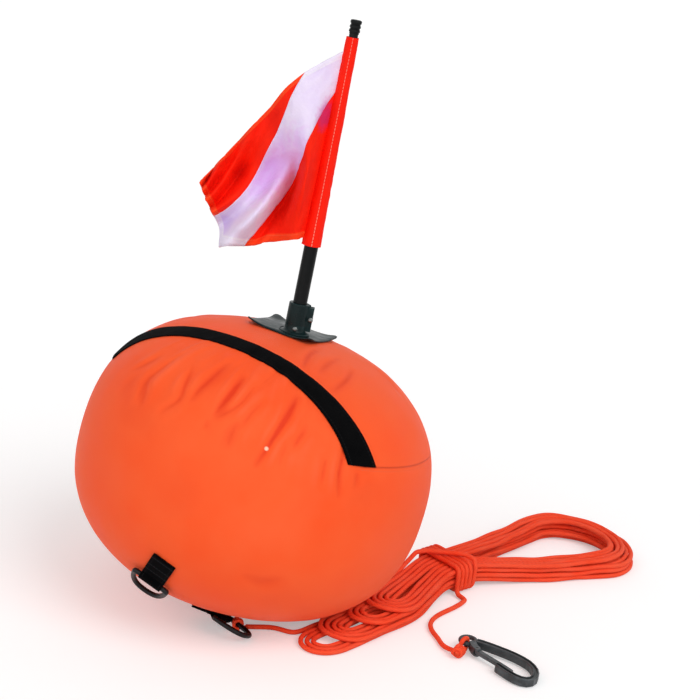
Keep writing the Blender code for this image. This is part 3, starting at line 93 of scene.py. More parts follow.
# %% Helpers for node trees
def add_node(tree, kind, output=0, settings=None, **sockets):
    """Add one node. Sockets are given by name or, as s0, s1, by place. Returns the chosen output."""
    node = tree.nodes.new("ShaderNode" + kind)
    for name, value in (settings or {}).items():
        setattr(node, name, value)
    for name, value in sockets.items():
        place = int(name[1:]) if name[0] == "s" and name[1:].isdigit() else name.replace("_", " ")
        socket = node.inputs[place]
        if isinstance(value, bpy.types.NodeSocket):
            tree.links.new(value, socket)
        else:
            socket.default_value = value
    return node.outputs[output]


def math_node(tree, operation, *values):
    """One sum on numbers, with the operation's own name."""
    sockets = {f"s{i}": value for i, value in enumerate(values)}
    return add_node(tree, "Math", settings={"operation": operation}, **sockets)


def times(tree, *values):
    """Two numbers multiplied."""
    return math_node(tree, "MULTIPLY", *values)


def split(tree, vector):
    """The three numbers of a vector."""
    node = add_node(tree, "SeparateXYZ", s0=vector).node
    return node.outputs


def blend_colours(tree, share, first, second, kind="MIX"):
    """Two colours mixed by a share from 0 to 1."""
    settings = {"data_type": "RGBA", "blend_type": kind}
    return add_node(tree, "Mix", output=2, settings=settings, s0=share, s6=first, s7=second)


def highest(tree, *values):
    """The highest of several numbers, as for masks that add up without growing past 1."""
    top = values[0]
    for value in values[1:]:
        top = math_node(tree, "MAXIMUM", top, value)
    return top


def distance(tree, place, spot):
    """How far a place is from a spot."""
    return add_node(tree, "VectorMath", output=1, settings={"operation": "DISTANCE"}, s0=place, s1=tuple(spot))


def tint(tree, shade, mask, strength, tone):
    """A colour with another tone laid over it where a mask is 1, at a strength from 0 to 1."""
    return blend_colours(tree, times(tree, mask, strength), shade, tone)


def step_between(tree, value, low, high):
    """0 below low, 1 above high and a straight climb between them."""
    return add_node(tree, "MapRange", Value=value, From_Min=low, From_Max=high)


def new_group(name, inputs, outputs):
    """An empty node group with named inputs, each (kind, value), and named outputs, each a kind."""
    group = bpy.data.node_groups.new(name, "ShaderNodeTree")
    for label, (kind, value) in inputs.items():
        socket = group.interface.new_socket(label, in_out="INPUT", socket_type="NodeSocket" + kind)
        if value is not None:
            socket.default_value = value
    for label, kind in outputs.items():
        group.interface.new_socket(label, in_out="OUTPUT", socket_type="NodeSocket" + kind)
    start = group.nodes.new("NodeGroupInput").outputs
    end = group.nodes.new("NodeGroupOutput").inputs
    return group, start, end


def use_group(tree, group, output, **sockets):
    """Place a node group in a tree and return the named output."""
    return add_node(tree, "Group", output=output, settings={"node_tree": group}, **sockets)

# %% [markdown]
# Four effects come back in many finishes: the crossing threads of a cloth, soft mottling from handling
# and dust, the fine grain of moulded rubber or plastic, and a row of stitches. Each is a node group
# with its own sizes, in metres, so that every finish can use it at its own scale.

# %% Shared effects: weave, mottling, grain and stitches
def make_weave():
    """Plain weave: over and under threads meet like a draughtboard, each rounded as half a sine."""
    group, start, end = new_group(
        "plain_weave", {"Coordinates": ("Vector", None), "Threads": ("Float", 2000.0)},
        {"Height": "Float"})
    scaled = add_node(group, "VectorMath", settings={"operation": "SCALE"}, s0=start["Coordinates"],
                      Scale=start["Threads"])
    axes = split(group, scaled)
    waves = [math_node(group, "SINE", times(group, axes[i], pi)) for i in range(2)]
    over = math_node(group, "GREATER_THAN", times(group, *waves), 0.0)
    tall = [math_node(group, "ABSOLUTE", wave) for wave in waves]
    height = add_node(group, "Mix", s0=over, s2=tall[0], s3=tall[1])
    group.links.new(height, end["Height"])
    return group


def make_mottle():
    """Cloudy patches: noise at a size, with its middle part stretched to the full 0 to 1."""
    group, start, end = new_group(
        "mottle", {"Coordinates": ("Vector", None), "Size": ("Float", 20.0), "Detail": ("Float", 3.0)},
        {"Mask": "Float"})
    noise = add_node(group, "TexNoise", Vector=start["Coordinates"], Scale=start["Size"],
                     Detail=start["Detail"], Roughness=0.55)
    group.links.new(step_between(group, noise, 0.34, 0.66), end["Mask"])
    return group


def make_grain():
    """The skin of moulded plastic or rubber: small cells with fine noise over them."""
    group, start, end = new_group(
        "grain", {"Coordinates": ("Vector", None), "Size": ("Float", 900.0)}, {"Height": "Float"})
    cells = add_node(group, "TexVoronoi", Vector=start["Coordinates"], Scale=start["Size"])
    noise = add_node(group, "TexNoise", Vector=start["Coordinates"],
                     Scale=times(group, start["Size"], 2.3), Detail=2.0)
    group.links.new(math_node(group, "ADD", cells, times(group, noise, 0.6)),
                    end["Height"])
    return group


def make_stitches():
    """A row of stitches along Along, at Line across it: a dash of thread, then the hole between two."""
    group, start, end = new_group(
        "stitches", {"Along": ("Float", 0.0), "Across": ("Float", 0.0), "Line": ("Float", 0.0),
                     "Pitch": ("Float", 0.003), "Thread": ("Float", 0.0005)},
        {"Mask": "Float", "Groove": "Float"})
    away = math_node(group, "ABSOLUTE", math_node(group, "SUBTRACT", start["Across"], start["Line"]))
    turn = math_node(group, "DIVIDE", start["Along"], start["Pitch"])
    beat = math_node(group, "ABSOLUTE", math_node(group, "SUBTRACT", math_node(group, "FRACT", turn), 0.5))
    inside = math_node(group, "LESS_THAN", away, start["Thread"])
    dash = math_node(group, "LESS_THAN", beat, 0.36)
    group.links.new(times(group, inside, dash), end["Mask"])
    near = math_node(group, "DIVIDE", away, times(group, start["Thread"], 4.0))
    groove = math_node(group, "SUBTRACT", 1.0, math_node(group, "MINIMUM", near, 1.0))
    group.links.new(groove, end["Groove"])
    return group


def make_edge_wear():
    """Where an edge stands proud it is rubbed: the mesh's own pointedness, broken up by noise."""
    group, start, end = new_group(
        "edge_wear", {"Coordinates": ("Vector", None), "Size": ("Float", 120.0),
                      "Start": ("Float", 0.52), "Full": ("Float", 0.60)}, {"Mask": "Float"})
    pointed = add_node(group, "NewGeometry", output="Pointiness")
    edge = add_node(group, "MapRange", Value=pointed, From_Min=start["Start"], From_Max=start["Full"])
    noise = add_node(group, "TexNoise", Vector=start["Coordinates"], Scale=start["Size"], Detail=4.0)
    group.links.new(times(group, edge, step_between(group, noise, 0.35, 0.65)),
                    end["Mask"])
    return group


weave, mottle, grain = make_weave(), make_mottle(), make_grain()
stitches, edge_wear = make_stitches(), make_edge_wear()
print("shared effects:", [group.name for group in (weave, mottle, grain, stitches, edge_wear)])


def mottled(tree, place, size, detail=3.0):
    """The mottling's mask at a size."""
    return use_group(tree, mottle, "Mask", Coordinates=place, Size=size, Detail=detail)


def woven(tree, metres, threads):
    """The weave's height, with so many threads to the metre."""
    return use_group(tree, weave, "Height", Coordinates=metres, Threads=threads)


def sewn_row(tree, along, across, line, pitch, thread, output="Mask"):
    """A row of stitches: its threads, or as "Groove" the dent that they pull into the cloth."""
    return use_group(tree, stitches, output, Along=along, Across=across, Line=line, Pitch=pitch, Thread=thread)

# %% [markdown]
# Every finish starts with the same few lines: a material, its Principled shader and the places that
# its patterns are measured from. Patterns that follow cloth or rope read the piece's own UV map,
# which holds metres here, and the rest read Object coordinates.

# %% Start of a finish
def new_finish(name, **constants):
    """A material with a Principled shader, its plain values set on the shader's own sockets."""
    material = bpy.data.materials.new(name)
    material.use_nodes = True
    tree = material.node_tree
    shader = tree.nodes["Principled BSDF"]
    for label, value in constants.items():
        shader.inputs[label.replace("_", " ")].default_value = value
    coordinates = tree.nodes.new("ShaderNodeTexCoord").outputs
    return material, tree, shader.inputs, coordinates["Object"], coordinates["UV"]


def add_bump(tree, shader, *layers):
    """Chain bumps: each layer is (height output, depth in metres, strength)."""
    normal = None
    for height, depth, strength in layers:
        sockets = {"Height": height, "Distance": depth, "Strength": strength}
        if normal is not None:
            sockets["Normal"] = normal
        normal = add_node(tree, "Bump", **sockets)
    tree.links.new(normal, shader["Normal"])


def colour(red, green, blue):
    """A colour picked on a screen, from 0 to 255, as the linear light that shaders use."""
    linear = [v / 255 / 12.92 if v <= 10 else ((v / 255 + 0.055) / 1.055) ** 2.4 for v in (red, green, blue)]
    return (*linear, 1.0)


def dress(node, material):
    """Give a CAD node's object its finish."""
    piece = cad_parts[node]
    for one in piece if isinstance(piece, (list, tuple)) else [piece]:
        one.data.materials.clear()
        one.data.materials.append(material)

# %% [markdown]
# New pieces are made from arrays of points. A grid of rows and columns becomes a sheet or, where its
# rows or columns close on themselves, a tube or a ring. One helper turns such a grid into a mesh, and
# writes a UV map with the two lengths, in metres, so that weave and stitches keep their real size.

# %% Helpers for grids
def running_length(points):
    """Length along a path up to each of its points: the sum of the steps before it."""
    return np.concatenate([[0.0], np.cumsum(np.linalg.norm(np.diff(points, axis=0), axis=1))])


def unit(vectors):
    """The same directions with length 1: each vector divided by its own length."""
    vectors = np.asarray(vectors, dtype=float)
    return vectors / np.maximum(np.linalg.norm(vectors, axis=-1, keepdims=True), 1e-12)


@contextmanager
def editing(piece):
    """A piece's mesh, open for edits and written back after them."""
    mesh = bmesh.new()
    mesh.from_mesh(piece.data)
    yield mesh
    mesh.to_mesh(piece.data)
    mesh.free()


def climb(value, start, length):
    """0 up to a start, then a straight climb over a length, and 1 after it."""
    return np.clip((value - start) / length, 0, 1)


def ease(share):
    """From 0 to 1 with a slow start and a slow end: 3 s^2 - 2 s^3."""
    share = np.clip(share, 0, 1)
    return share * share * (3 - 2 * share)


def length_grid(along, around):
    """Every pair of a length along a piece and a length round it, for its UV map."""
    return np.stack(np.meshgrid(along, around, indexing="ij"), axis=-1)


def past_the_end(numbers, count):
    """Corners in row or column 0 of the faces that close a grid: their lengths go one turn on."""
    closing = (numbers == count - 1).any(axis=1) & (numbers == 0).any(axis=1)
    return (closing[:, None] & (numbers == 0)).ravel()


def grid_faces(rows, columns, close_rows=False, close_columns=False):
    """Corner numbers of the four-sided faces between neighbouring points of a grid."""
    i, j = np.meshgrid(np.arange(rows if close_rows else rows - 1),
                       np.arange(columns if close_columns else columns - 1), indexing="ij")
    after_i, after_j = (i + 1) % rows, (j + 1) % columns
    corners = np.stack([i * columns + j, i * columns + after_j, after_i * columns + after_j,
                        after_i * columns + j], axis=-1)
    return corners.reshape(-1, 4)


def make_piece(name, points, faces, finish, body, uv):
    """A mesh object from points and lists of faces, riding on a body. Caps may have many corners."""
    mesh = bpy.data.meshes.new(name)
    mesh.from_pydata(np.asarray(points, dtype=float).reshape(-1, 3).tolist(), [],
                     [list(map(int, face)) for face in faces])
    mesh.uv_layers.new(name="metres").uv.foreach_set("vector", uv.astype(np.float32).ravel())
    mesh.materials.append(finish)
    mesh.update()
    mesh.shade_smooth()
    piece = add_object(name, mesh)
    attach(piece, body)
    return piece


def grid_piece(name, points, finish, body, close_rows=False, caps=False, lengths=None):
    """A grid of points (rows, columns, 3) as a piece. Columns run round a tube and rows along it.

    The UV map holds lengths, (rows, columns, 2), or else lengths measured on the grid itself.
    """
    rows, columns = points.shape[:2]
    faces = grid_faces(rows, columns, close_rows, close_columns=True)
    if lengths is None:
        around = np.linalg.norm(points[0] - np.roll(points[0], 1, axis=0), axis=1).cumsum()
        lengths = length_grid(running_length(points[:, 0]), around)
    spots = lengths.reshape(-1, 2)
    uv = spots[faces.ravel()]
    # A full turn is the length up to the last row or column and one step more
    uv[past_the_end(faces % columns, columns), 1] += spots[columns - 1, 1] + spots[1, 1] - 2 * spots[0, 1]
    if close_rows:
        turn_length = spots[(rows - 1) * columns, 0] + spots[columns, 0] - 2 * spots[0, 0]
        uv[past_the_end(faces // columns, rows), 0] += turn_length
    faces = faces.tolist()
    if caps:
        ends = [list(range(columns))[::-1], list(range((rows - 1) * columns, rows * columns))]
        faces += ends
        uv = np.vstack([uv] + [spots[end] for end in ends])
    return make_piece(name, points, faces, finish, body, uv)

# %% [markdown]
# A rope or a wire is a round profile carried along a path. At each point of the path the profile
# stands square to the way the path goes. To keep it from twisting, each frame is the one before it,
# turned only as much as the path bends.

# %% Helpers for paths and tubes
def smooth_path(controls, spacing):
    """Even points on a Catmull-Rom curve through the control points."""
    controls = np.asarray(controls, dtype=float)
    knots = np.vstack([2 * controls[0] - controls[1], controls, 2 * controls[-1] - controls[-2]])
    before, start, end, after = (knots[i:len(knots) - 3 + i, None] for i in range(4))
    t = np.linspace(0, 1, 24, endpoint=False)[None, :, None]
    fine = 0.5 * (2 * start + (end - before) * t + (2 * before - 5 * start + 4 * end - after) * t ** 2
                  + (3 * start - before - 3 * end + after) * t ** 3)
    fine = np.vstack([fine.reshape(-1, controls.shape[1]), controls[-1:]])
    run = running_length(fine)
    even = np.linspace(0, run[-1], max(int(round(run[-1] / spacing)), 2) + 1)
    return np.stack([np.interp(even, run, fine[:, k]) for k in range(controls.shape[1])], axis=1)


def path_length(points):
    """The whole length of a path."""
    return float(np.linalg.norm(np.diff(points, axis=0), axis=1).sum())


def path_frames(path, closed=False):
    """Two directions square to the path at each point, with no twist between neighbours."""
    if closed:
        ways = np.roll(path, -1, axis=0) - np.roll(path, 1, axis=0)
    else:
        ways = np.gradient(path, axis=0)
    ways = unit(ways)
    side = np.cross(ways[0], (0.0, 0.0, 1.0))
    if np.linalg.norm(side) < 0.1:
        side = np.cross(ways[0], (1.0, 0.0, 0.0))
    sides = np.empty_like(path)
    for i, way in enumerate(ways):
        side = unit(side - way * side.dot(way))
        sides[i] = side
    return sides, np.cross(ways, sides)


def tube(path, radius, around, closed=False):
    """Grid of a round tube: at each point of the path, a circle of the radius on the two directions."""
    sides, ups = path_frames(path, closed)
    angles = 2 * pi * np.arange(around) / around
    circle = np.cos(angles)[None, :, None] * sides[:, None] + np.sin(angles)[None, :, None] * ups[:, None]
    return path[:, None] + radius * circle


def tube_lengths(path, around, radius):
    """Length along the path and round the tube, for its UV map."""
    return length_grid(running_length(path), 2 * pi * radius * np.arange(around) / around)

# %% [markdown]
# The line is 5 mm braided cord. The real one is braided from twelve or more strands, which show as
# small slanted lozenges. Modelling each strand over 15 m would need millions of faces, so the cord is
# a plain tube and the lozenges are a bump that follows its UV map.

# %% Finish of the line
LINE = 0.005


def make_braid():
    """Braid: two sets of slanted ridges, one turning each way round the cord, over and under."""
    group, start, end = new_group(
        "braid", {"Coordinates": ("Vector", None), "Pitch": ("Float", 0.0048), "Strand": ("Float", 0.0020)},
        {"Height": "Float"})
    axes = split(group, start["Coordinates"])
    along = math_node(group, "DIVIDE", axes[0], start["Pitch"])
    around = math_node(group, "DIVIDE", axes[1], start["Strand"])
    ridges = []
    for operation in ("ADD", "SUBTRACT"):
        slant = math_node(group, operation, along, around)
        ridges.append(math_node(group, "ABSOLUTE", math_node(group, "SINE", times(group, slant, pi))))
    group.links.new(times(group, *ridges), end["Height"])
    return group


def make_line_finish():
    material, tree, shader, place, metres = new_finish(
        "line_braid", Roughness=0.66, Specular_IOR_Level=0.15)
    height = use_group(tree, braid, "Height", Coordinates=metres)
    worn = mottled(tree, place, 22.0)
    strand = mottled(tree, metres, 60.0, 1.0)
    shade = blend_colours(tree, worn, colour(255, 74, 36), colour(255, 88, 52))
    shade = tint(tree, shade, strand, 0.35, colour(255, 104, 74))
    # Painted shade: darker red in the gaps between the braid's strands
    strand_gap_shade = step_between(tree, height, 0.28, 0.0)
    shade = tint(tree, shade, strand_gap_shade, 0.55, colour(196, 34, 16))
    tree.links.new(shade, shader["Base Color"])
    add_bump(tree, shader, (height, 0.00035, 0.8))
    return material


braid = make_braid()
line_finish = make_line_finish()

# %% [markdown]
# The line lies in a hank: it goes round and round in long flat loops, layer on layer, is tied round
# its waist with its own end, and runs on to the snap hook. The route below is the CAD model's own
# route, worked out again step by step, because the rope must lie where its solid lies. Each layer
# spirals inwards or outwards by one step a loop.

# %% Route of the hank
FLOOR_HEIGHT = LINE / 2 + 0.0001
LAYERS, LOOPS_PER_LAYER, LOOP_POINTS = 4, 4, 24
LINE_STEP, LAYER_STEP = 0.0060, 0.00545
WAIST, HANK_HEADING = (0.2070, 0.0729), radians(44.5)
HANK_BEND = ((-0.245, -0.002), (-0.100, -0.002), (0.0, 0.0), (0.10, -0.002), (0.17, -0.005), (0.24, -0.010))
WAIST_HALF_LENGTH, HUMP_LENGTH, WAIST_HALF = 0.020, 0.072, 4.14 * LINE_STEP
LEFT_REACH, LEFT_MIDDLE, LEFT_HALF = (0.2350, 0.1990, 0.1650, 0.1315), -0.0350, 0.0290
LEFT_SPREAD = ((0.021, 0.093, 0.206), (0.0, 0.70, 1.0))
RIGHT_REACH, RIGHT_MIDDLE, RIGHT_HALF = (0.2330, 0.2280, 0.2310, 0.2240), -0.0200, 0.0680
RIGHT_BOW, RIGHT_SPREAD = 0.058, ((0.021, 0.093, 0.175), (0.0, 0.50, 1.0))
RUN_STEPS, RIGHT_STEPS, LEFT_STEPS = 5, 8, 6
# The line climbs to the next layer round a left bow or along a run, so many steps before and after the change
BOW_AFTER, RUN_BEFORE, RUN_AFTER = 2.5, 0.5, 3.0
BOW_CLIMB, RUN_CLIMB = LEFT_STEPS + BOW_AFTER, RUN_BEFORE + RUN_AFTER
TIE_TURNS, TIE_STEP, TIE_CORNER, TIE_SHIFT = 4, 0.0058, 0.0064, 0.0006
TIE_HALF_WIDTH = WAIST_HALF - 0.10 * LINE_STEP + LINE + 0.00070 - TIE_SHIFT
TIE_HALF_HEIGHT = (LAYERS - 1) / 2 * LAYER_STEP + LINE + 0.00070
HUMP = TIE_HALF_HEIGHT - (LAYERS - 1) / 2 * LAYER_STEP


def level_way(heading):
    """The level direction at a heading, anticlockwise from X."""
    return np.array([cos(heading), sin(heading), 0.0])


hank_way = level_way(HANK_HEADING)
hank_across = np.array([-hank_way[1], hank_way[0], 0.0])


def hank_place(along, side, height):
    """World point from the distance along the hank from its waist, to its far side, and up."""
    side = side + float(np.interp(along, *zip(*HANK_BEND)))
    return np.array([*WAIST, height]) + along * hank_way + side * hank_across


def along_hank(path):
    """How far along the hank from its waist each point lies."""
    return (path - np.array([*WAIST, 0.0])) @ hank_way


def run_side(along, sign):
    """How far to its side a run of the outermost loop lies: the loop opens from the waist to its bow."""
    middle, half = (LEFT_MIDDLE, LEFT_HALF) if along < 0 else (RIGHT_MIDDLE, RIGHT_HALF)
    mix = float(np.interp(abs(along), *(LEFT_SPREAD if along < 0 else RIGHT_SPREAD)))
    return middle * mix + sign * (WAIST_HALF + (half - WAIST_HALF) * mix)


def outer_spot(step, layer):
    """A layer's outermost loop: straight runs between the waist and half circles at both ends."""
    step = step % LOOP_POINTS
    left_start, right_start = LEFT_HALF - LEFT_REACH[layer], RIGHT_REACH[layer] - RIGHT_BOW
    waist, hump = WAIST_HALF_LENGTH + 0.001, WAIST_HALF_LENGTH + 0.001 + HUMP_LENGTH
    stops = (left_start, -hump, -waist, waist, hump, right_start)
    if step <= RUN_STEPS:
        along = float(np.interp(step, range(RUN_STEPS + 1), stops))
        return along, run_side(along, 1)
    step -= RUN_STEPS
    if step < RIGHT_STEPS:
        angle = pi / 2 - pi * step / RIGHT_STEPS
        return right_start + RIGHT_BOW * cos(angle), RIGHT_MIDDLE + RIGHT_HALF * sin(angle)
    step -= RIGHT_STEPS
    if step <= RUN_STEPS:
        along = float(np.interp(step, range(RUN_STEPS + 1), stops[::-1]))
        return along, run_side(along, -1)
    angle = -pi / 2 - pi * (step - RUN_STEPS) / LEFT_STEPS
    far, near = run_side(left_start, 1), run_side(left_start, -1)
    half = (far - near) / 2
    return left_start + half * cos(angle), (far + near) / 2 + half * sin(angle)


def hank_spot(step):
    """Point of the hank after a number of steps, with its climbs from layer to layer."""
    turn = step / LOOP_POINTS
    layer = min(int(turn / LOOPS_PER_LAYER), LAYERS - 1)
    share = turn - layer * LOOPS_PER_LAYER
    inward = share if layer % 2 == 0 else LOOPS_PER_LAYER - share
    past, since = (share - LOOPS_PER_LAYER) * LOOP_POINTS, share * LOOP_POINTS
    level, shape = float(layer), layer
    if layer % 2 == 0 and layer < LAYERS - 1 and past >= -LEFT_STEPS:
        level, shape = layer + ease((past + LEFT_STEPS) / BOW_CLIMB), layer + 1
    elif layer % 2 == 1 and since < BOW_AFTER:
        level = layer - 1 + ease((since + LEFT_STEPS) / BOW_CLIMB)
    elif layer % 2 == 0 and layer > 0 and since < RUN_AFTER:
        level, shape = layer - 1 + ease((since + RUN_BEFORE) / RUN_CLIMB), layer if since > 0 else layer - 1
    elif layer % 2 == 1 and layer < LAYERS - 1 and past > -RUN_BEFORE:
        level = layer + ease((past + RUN_BEFORE) / RUN_CLIMB)
    here, before, after = (np.array(outer_spot(step + shift, shape)) for shift in (0, -0.5, 0.5))
    way = unit(after - before)
    on_loop = step % LOOP_POINTS
    if on_loop <= RUN_STEPS:
        way = np.array([1.0, 0.0])
    elif RUN_STEPS + RIGHT_STEPS <= on_loop <= 2 * RUN_STEPS + RIGHT_STEPS:
        way = np.array([-1.0, 0.0])
    along, side = here + np.array([way[1], -way[0]]) * inward * LINE_STEP
    hump = HUMP * min(max((WAIST_HALF_LENGTH + HUMP_LENGTH - abs(along)) / (HUMP_LENGTH - 0.002), 0.0), 1.0)
    return hank_place(along, side, FLOOR_HEIGHT + level * LAYER_STEP + hump)


last_step = LAYERS * LOOPS_PER_LAYER * LOOP_POINTS
hank_route = np.array([hank_spot(step) for step in [*range(last_step + 1), last_step + 1.4]])
print("hank:", len(hank_route), "points,", round(path_length(hank_route), 3), "m")

# %% [markdown]
# The same line goes on round the waist in four turns, which hold the hank together, and then as a
# short tail to the snap hook's knot. At its other end a short lead runs from the lower ring.

# %% Route of the lead, the tie and the tail
TIE_END = (-0.0130, -0.0390)
TAIL = ((-0.0145, -0.0455), (-0.0240, -0.0490), (-0.0400, -0.0515), (-0.0610, -0.0530), (-0.0800, -0.0590),
        (-0.0930, -0.0720), (-0.0990, -0.0900))
HOOK_EYE, EYE_HEIGHT, EYE_RADIUS, EYE_WIRE = (0.2300, -0.0720), 0.0081, 0.0075, 0.0050
KNOT_HEADING, KNOT_LENGTH, KNOT_WIDTH, LOOP_TO_KNOT = radians(-113.0), 0.0140, 0.0124, 0.0165
TAIL_ENTRY = radians(148.0)
LEAD_START, LEAD_HEADING, RING_WIRE_HEADING = (0.0096, -0.0817, FLOOR_HEIGHT), radians(8.0), radians(98.0)


def tie_turn(share):
    """Point of the tie in the plane across the hank: a square with round corners, 16 steps a turn."""
    side, high, corner = TIE_HALF_WIDTH, TIE_HALF_HEIGHT, TIE_CORNER
    centres = [(-1, -1), (1, -1), (1, 1), (-1, 1)]
    step = share % 16
    quarter, part = int(step // 4), step % 4
    angle = pi + pi / 2 * quarter + pi / 2 * min(part, 3) / 3
    spots = [np.array([cx * (side - corner) + corner * cos(angle), cz * (high - corner) + corner * sin(angle)])
             for cx, cz in (centres[quarter], centres[(quarter + 1) % 4])]
    return spots[0] + (spots[1] - spots[0]) * max(part - 3, 0)


def tie_route(end, before):
    """From the hank's last run across the top of the waist, four times round it and out underneath."""
    middle = FLOOR_HEIGHT + TIE_HALF_HEIGHT
    top = middle + TIE_HALF_HEIGHT
    way = unit(end - before)
    first = TIE_STEP * TIE_TURNS / 2 + 0.0005
    points = [end + way * LINE, hank_place(-0.029, 0.018, top + 0.0050),
              hank_place(-0.019, 0.012, top + 0.0064), hank_place(first - 0.003, -0.014, top + 0.0064),
              hank_place(first + 0.0022, -TIE_HALF_WIDTH + 0.0042, top + 0.0038),
              hank_place(first + 0.0012, -TIE_HALF_WIDTH + TIE_SHIFT - 0.0002, top - 0.0035)]
    for step in range(0, 16 * TIE_TURNS + 1):
        side, high = tie_turn(step)
        points.append(hank_place(first - TIE_STEP * step / 16, side + TIE_SHIFT, middle + high))
    low, edge = first - TIE_STEP * TIE_TURNS, TIE_SHIFT - TIE_HALF_WIDTH
    points += [hank_place(low, edge - 0.0002, FLOOR_HEIGHT + 0.0050),
               hank_place(low - 0.0006, edge - 0.0016, FLOOR_HEIGHT + 0.0020),
               hank_place(low - 0.0012, edge - 0.0040, FLOOR_HEIGHT), hank_place(*TIE_END, FLOOR_HEIGHT)]
    return np.array(points)


knot_out = level_way(KNOT_HEADING)
eye_wire = np.array([*HOOK_EYE, EYE_HEIGHT]) + knot_out * EYE_RADIUS
knot_spot = eye_wire + knot_out * LOOP_TO_KNOT + np.array([0.0, 0.0, -0.0018])
tail_entry = level_way(TAIL_ENTRY)
tail_last = knot_spot + tail_entry * (KNOT_WIDTH / 2 - 0.0003)
tail_last[2] = FLOOR_HEIGHT + 0.0024
tail_route = [hank_place(s, n, FLOOR_HEIGHT) for s, n in TAIL]
tail_route += [tail_last + tail_entry * 0.010 + np.array([-0.002, 0.004, -0.0020]), tail_last]
lead_way = level_way(LEAD_HEADING)
lead_start = np.array(LEAD_START)
lead_middle = (lead_start + hank_route[0]) / 2 + np.array([0.0, 0.004, 0.0])
lead_end = hank_route[0] - unit(hank_route[1] - hank_route[0]) * 0.0129
lead_route = [lead_start, lead_start + lead_way * 0.008, lead_middle, lead_end]
line_route = np.vstack([lead_route, hank_route, tie_route(hank_route[-1], hank_route[-2]), tail_route])
print("whole line:", len(line_route), "points,", round(path_length(line_route), 3), "m")

# %% [markdown]
# A rope that was coiled by hand is never perfectly even, so its loops wander a little: each smooth
# wobble is a sum of three sines of their own lengths, and the bows of the top loops are shifted by a few
# millimetres and lie over one another. The waist keeps its place, because the tie holds it tight.

# %% The line
LINE_SPACING, TAIL_LENGTH, HANK_FADE = 0.0025, 0.140, 0.03


def even_points(path, spacing):
    """The same path with points at an even spacing, along straight lines between the old ones."""
    run = running_length(path)
    even = np.linspace(0, run[-1], int(round(run[-1] / spacing)) + 1)
    return np.stack([np.interp(even, run, path[:, k]) for k in range(3)], axis=1), even


def rounded(path, reach):
    """Average over neighbours with bell-shaped weights, which rounds the path's corners."""
    steps = np.arange(-int(4 * reach), int(4 * reach) + 1)
    weights = np.exp(-0.5 * (steps / reach) ** 2)
    weights = weights / weights.sum()
    padded_path = np.vstack([2 * path[0] - path[1:len(steps) // 2 + 1][::-1], path,
                             2 * path[-1] - path[-len(steps) // 2:-1][::-1]])
    return np.stack([np.convolve(padded_path[:, k], weights, mode="valid") for k in range(3)], axis=1)


def gentle_wander(run, size, lengths, seed):
    """Slow sideways wobble along a run: sines of a few lengths, in metres, with seeded phases."""
    phases = np.random.default_rng(seed).uniform(0, 2 * pi, len(lengths))
    waves = [np.sin(2 * pi * run / length + phase) for length, phase in zip(lengths, phases)]
    return size * sum(waves) / len(lengths)


def loosen_bows(path, share, run):
    """Shift and lift the bows: each loop by its own seeded amount, more in the layers on top."""
    away = ease(climb(np.abs(along_hank(path)), 0.09, 0.12)) * share
    first, *_, last = run[share > 0.5]
    loop = np.clip((run - first) / (last - first), 0, 0.9999) * LAYERS * LOOPS_PER_LAYER
    dice = np.random.default_rng(14)
    shift, slide = dice.uniform(-1, 1, 18), dice.uniform(-1, 1, 18)
    number = np.arange(18)
    top = np.clip((loop - 9) / 4, 0.10, 1)
    moved = path + (np.interp(loop, number, shift) * 0.0075 * top * away)[:, None] * hank_way
    moved = moved + (np.interp(loop, number, slide) * 0.0060 * top * away)[:, None] * hank_across
    moved[:, 2] += np.where(loop > 11.6, 0.0032 * np.abs(np.sin(loop * 2.1)), 0.0) * away
    return moved


def cord_piece(name, path, width, body, around=12):
    """A length of cord along a path: its round grid, with the braid's lengths."""
    return grid_piece(name, tube(path, width / 2, around), line_finish, body, caps=True,
                      lengths=tube_lengths(path, around, width / 2))


def make_line():
    """The whole line as one tube: a circle of 5 mm carried along its route."""
    path, run = even_points(line_route, LINE_SPACING)
    start = path_length(line_route[:len(lead_route)])
    end = start + path_length(line_route[len(lead_route):len(lead_route) + len(hank_route)])
    # 1 in the hank and 0 in the lead, the tie and the tail, with short fades
    share = climb(run, start, HANK_FADE) * climb(-run, -end, HANK_FADE)
    tail = np.clip((run - run[-1] + TAIL_LENGTH) / 0.02, 0, 1)
    loose = np.maximum(share, np.maximum(tail, np.clip((start + 0.03 - run) / 0.02, 0, 1)))[:, None]
    path = rounded(path, 0.7) * (1 - loose) + rounded(path, 3.2) * loose
    free = share * climb(np.abs(along_hank(path)), 0.03, 0.05)
    path = loosen_bows(path, share, run)
    path[:, 2] += free * gentle_wander(run, 0.0009, (0.083, 0.131, 0.047), 5)
    path = path + (free * gentle_wander(run, 0.0011, (0.097, 0.061, 0.203), 8))[:, None] * hank_across
    path[:, 2] = np.maximum(path[:, 2], FLOOR_HEIGHT)
    piece = cord_piece("marker_line", path, LINE, "float", 9)
    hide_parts("line_lead", "line_hank", "line_tie", "line_tail")
    print("line:", round(path_length(path), 3), "m,", len(piece.data.polygons), "faces")
    return piece, path


marker_line, line_path = make_line()

# %% [markdown]
# The knots are what a diver would tie: two turns and a crossing on the ring, and a strangle knot of
# three turns with a small loop through the hook's eye. A knot could be a lump with a rope texture,
# but its turns catch the light, so each is a real length of cord wound on a helix.

# %% Knots and the loop through the hook's eye
KNOT_CORD = 0.0042


def helix(centre, axis, radius, turns, length, start):
    """A screw line: a circle round an axis that moves evenly along it."""
    side = unit(np.cross(axis, (0.0, 0.0, 1.0)))
    other = np.cross(axis, side)
    t = np.linspace(0, 1, int(28 * turns) + 1)[:, None]
    angle = start + 2 * pi * turns * t
    return (np.asarray(centre) + axis * length * (t - 0.5)
            + radius * (np.cos(angle) * side + np.sin(angle) * other))


def knot_piece(name, controls, width, body):
    return cord_piece(name, smooth_path(controls, 0.0012), width, body)


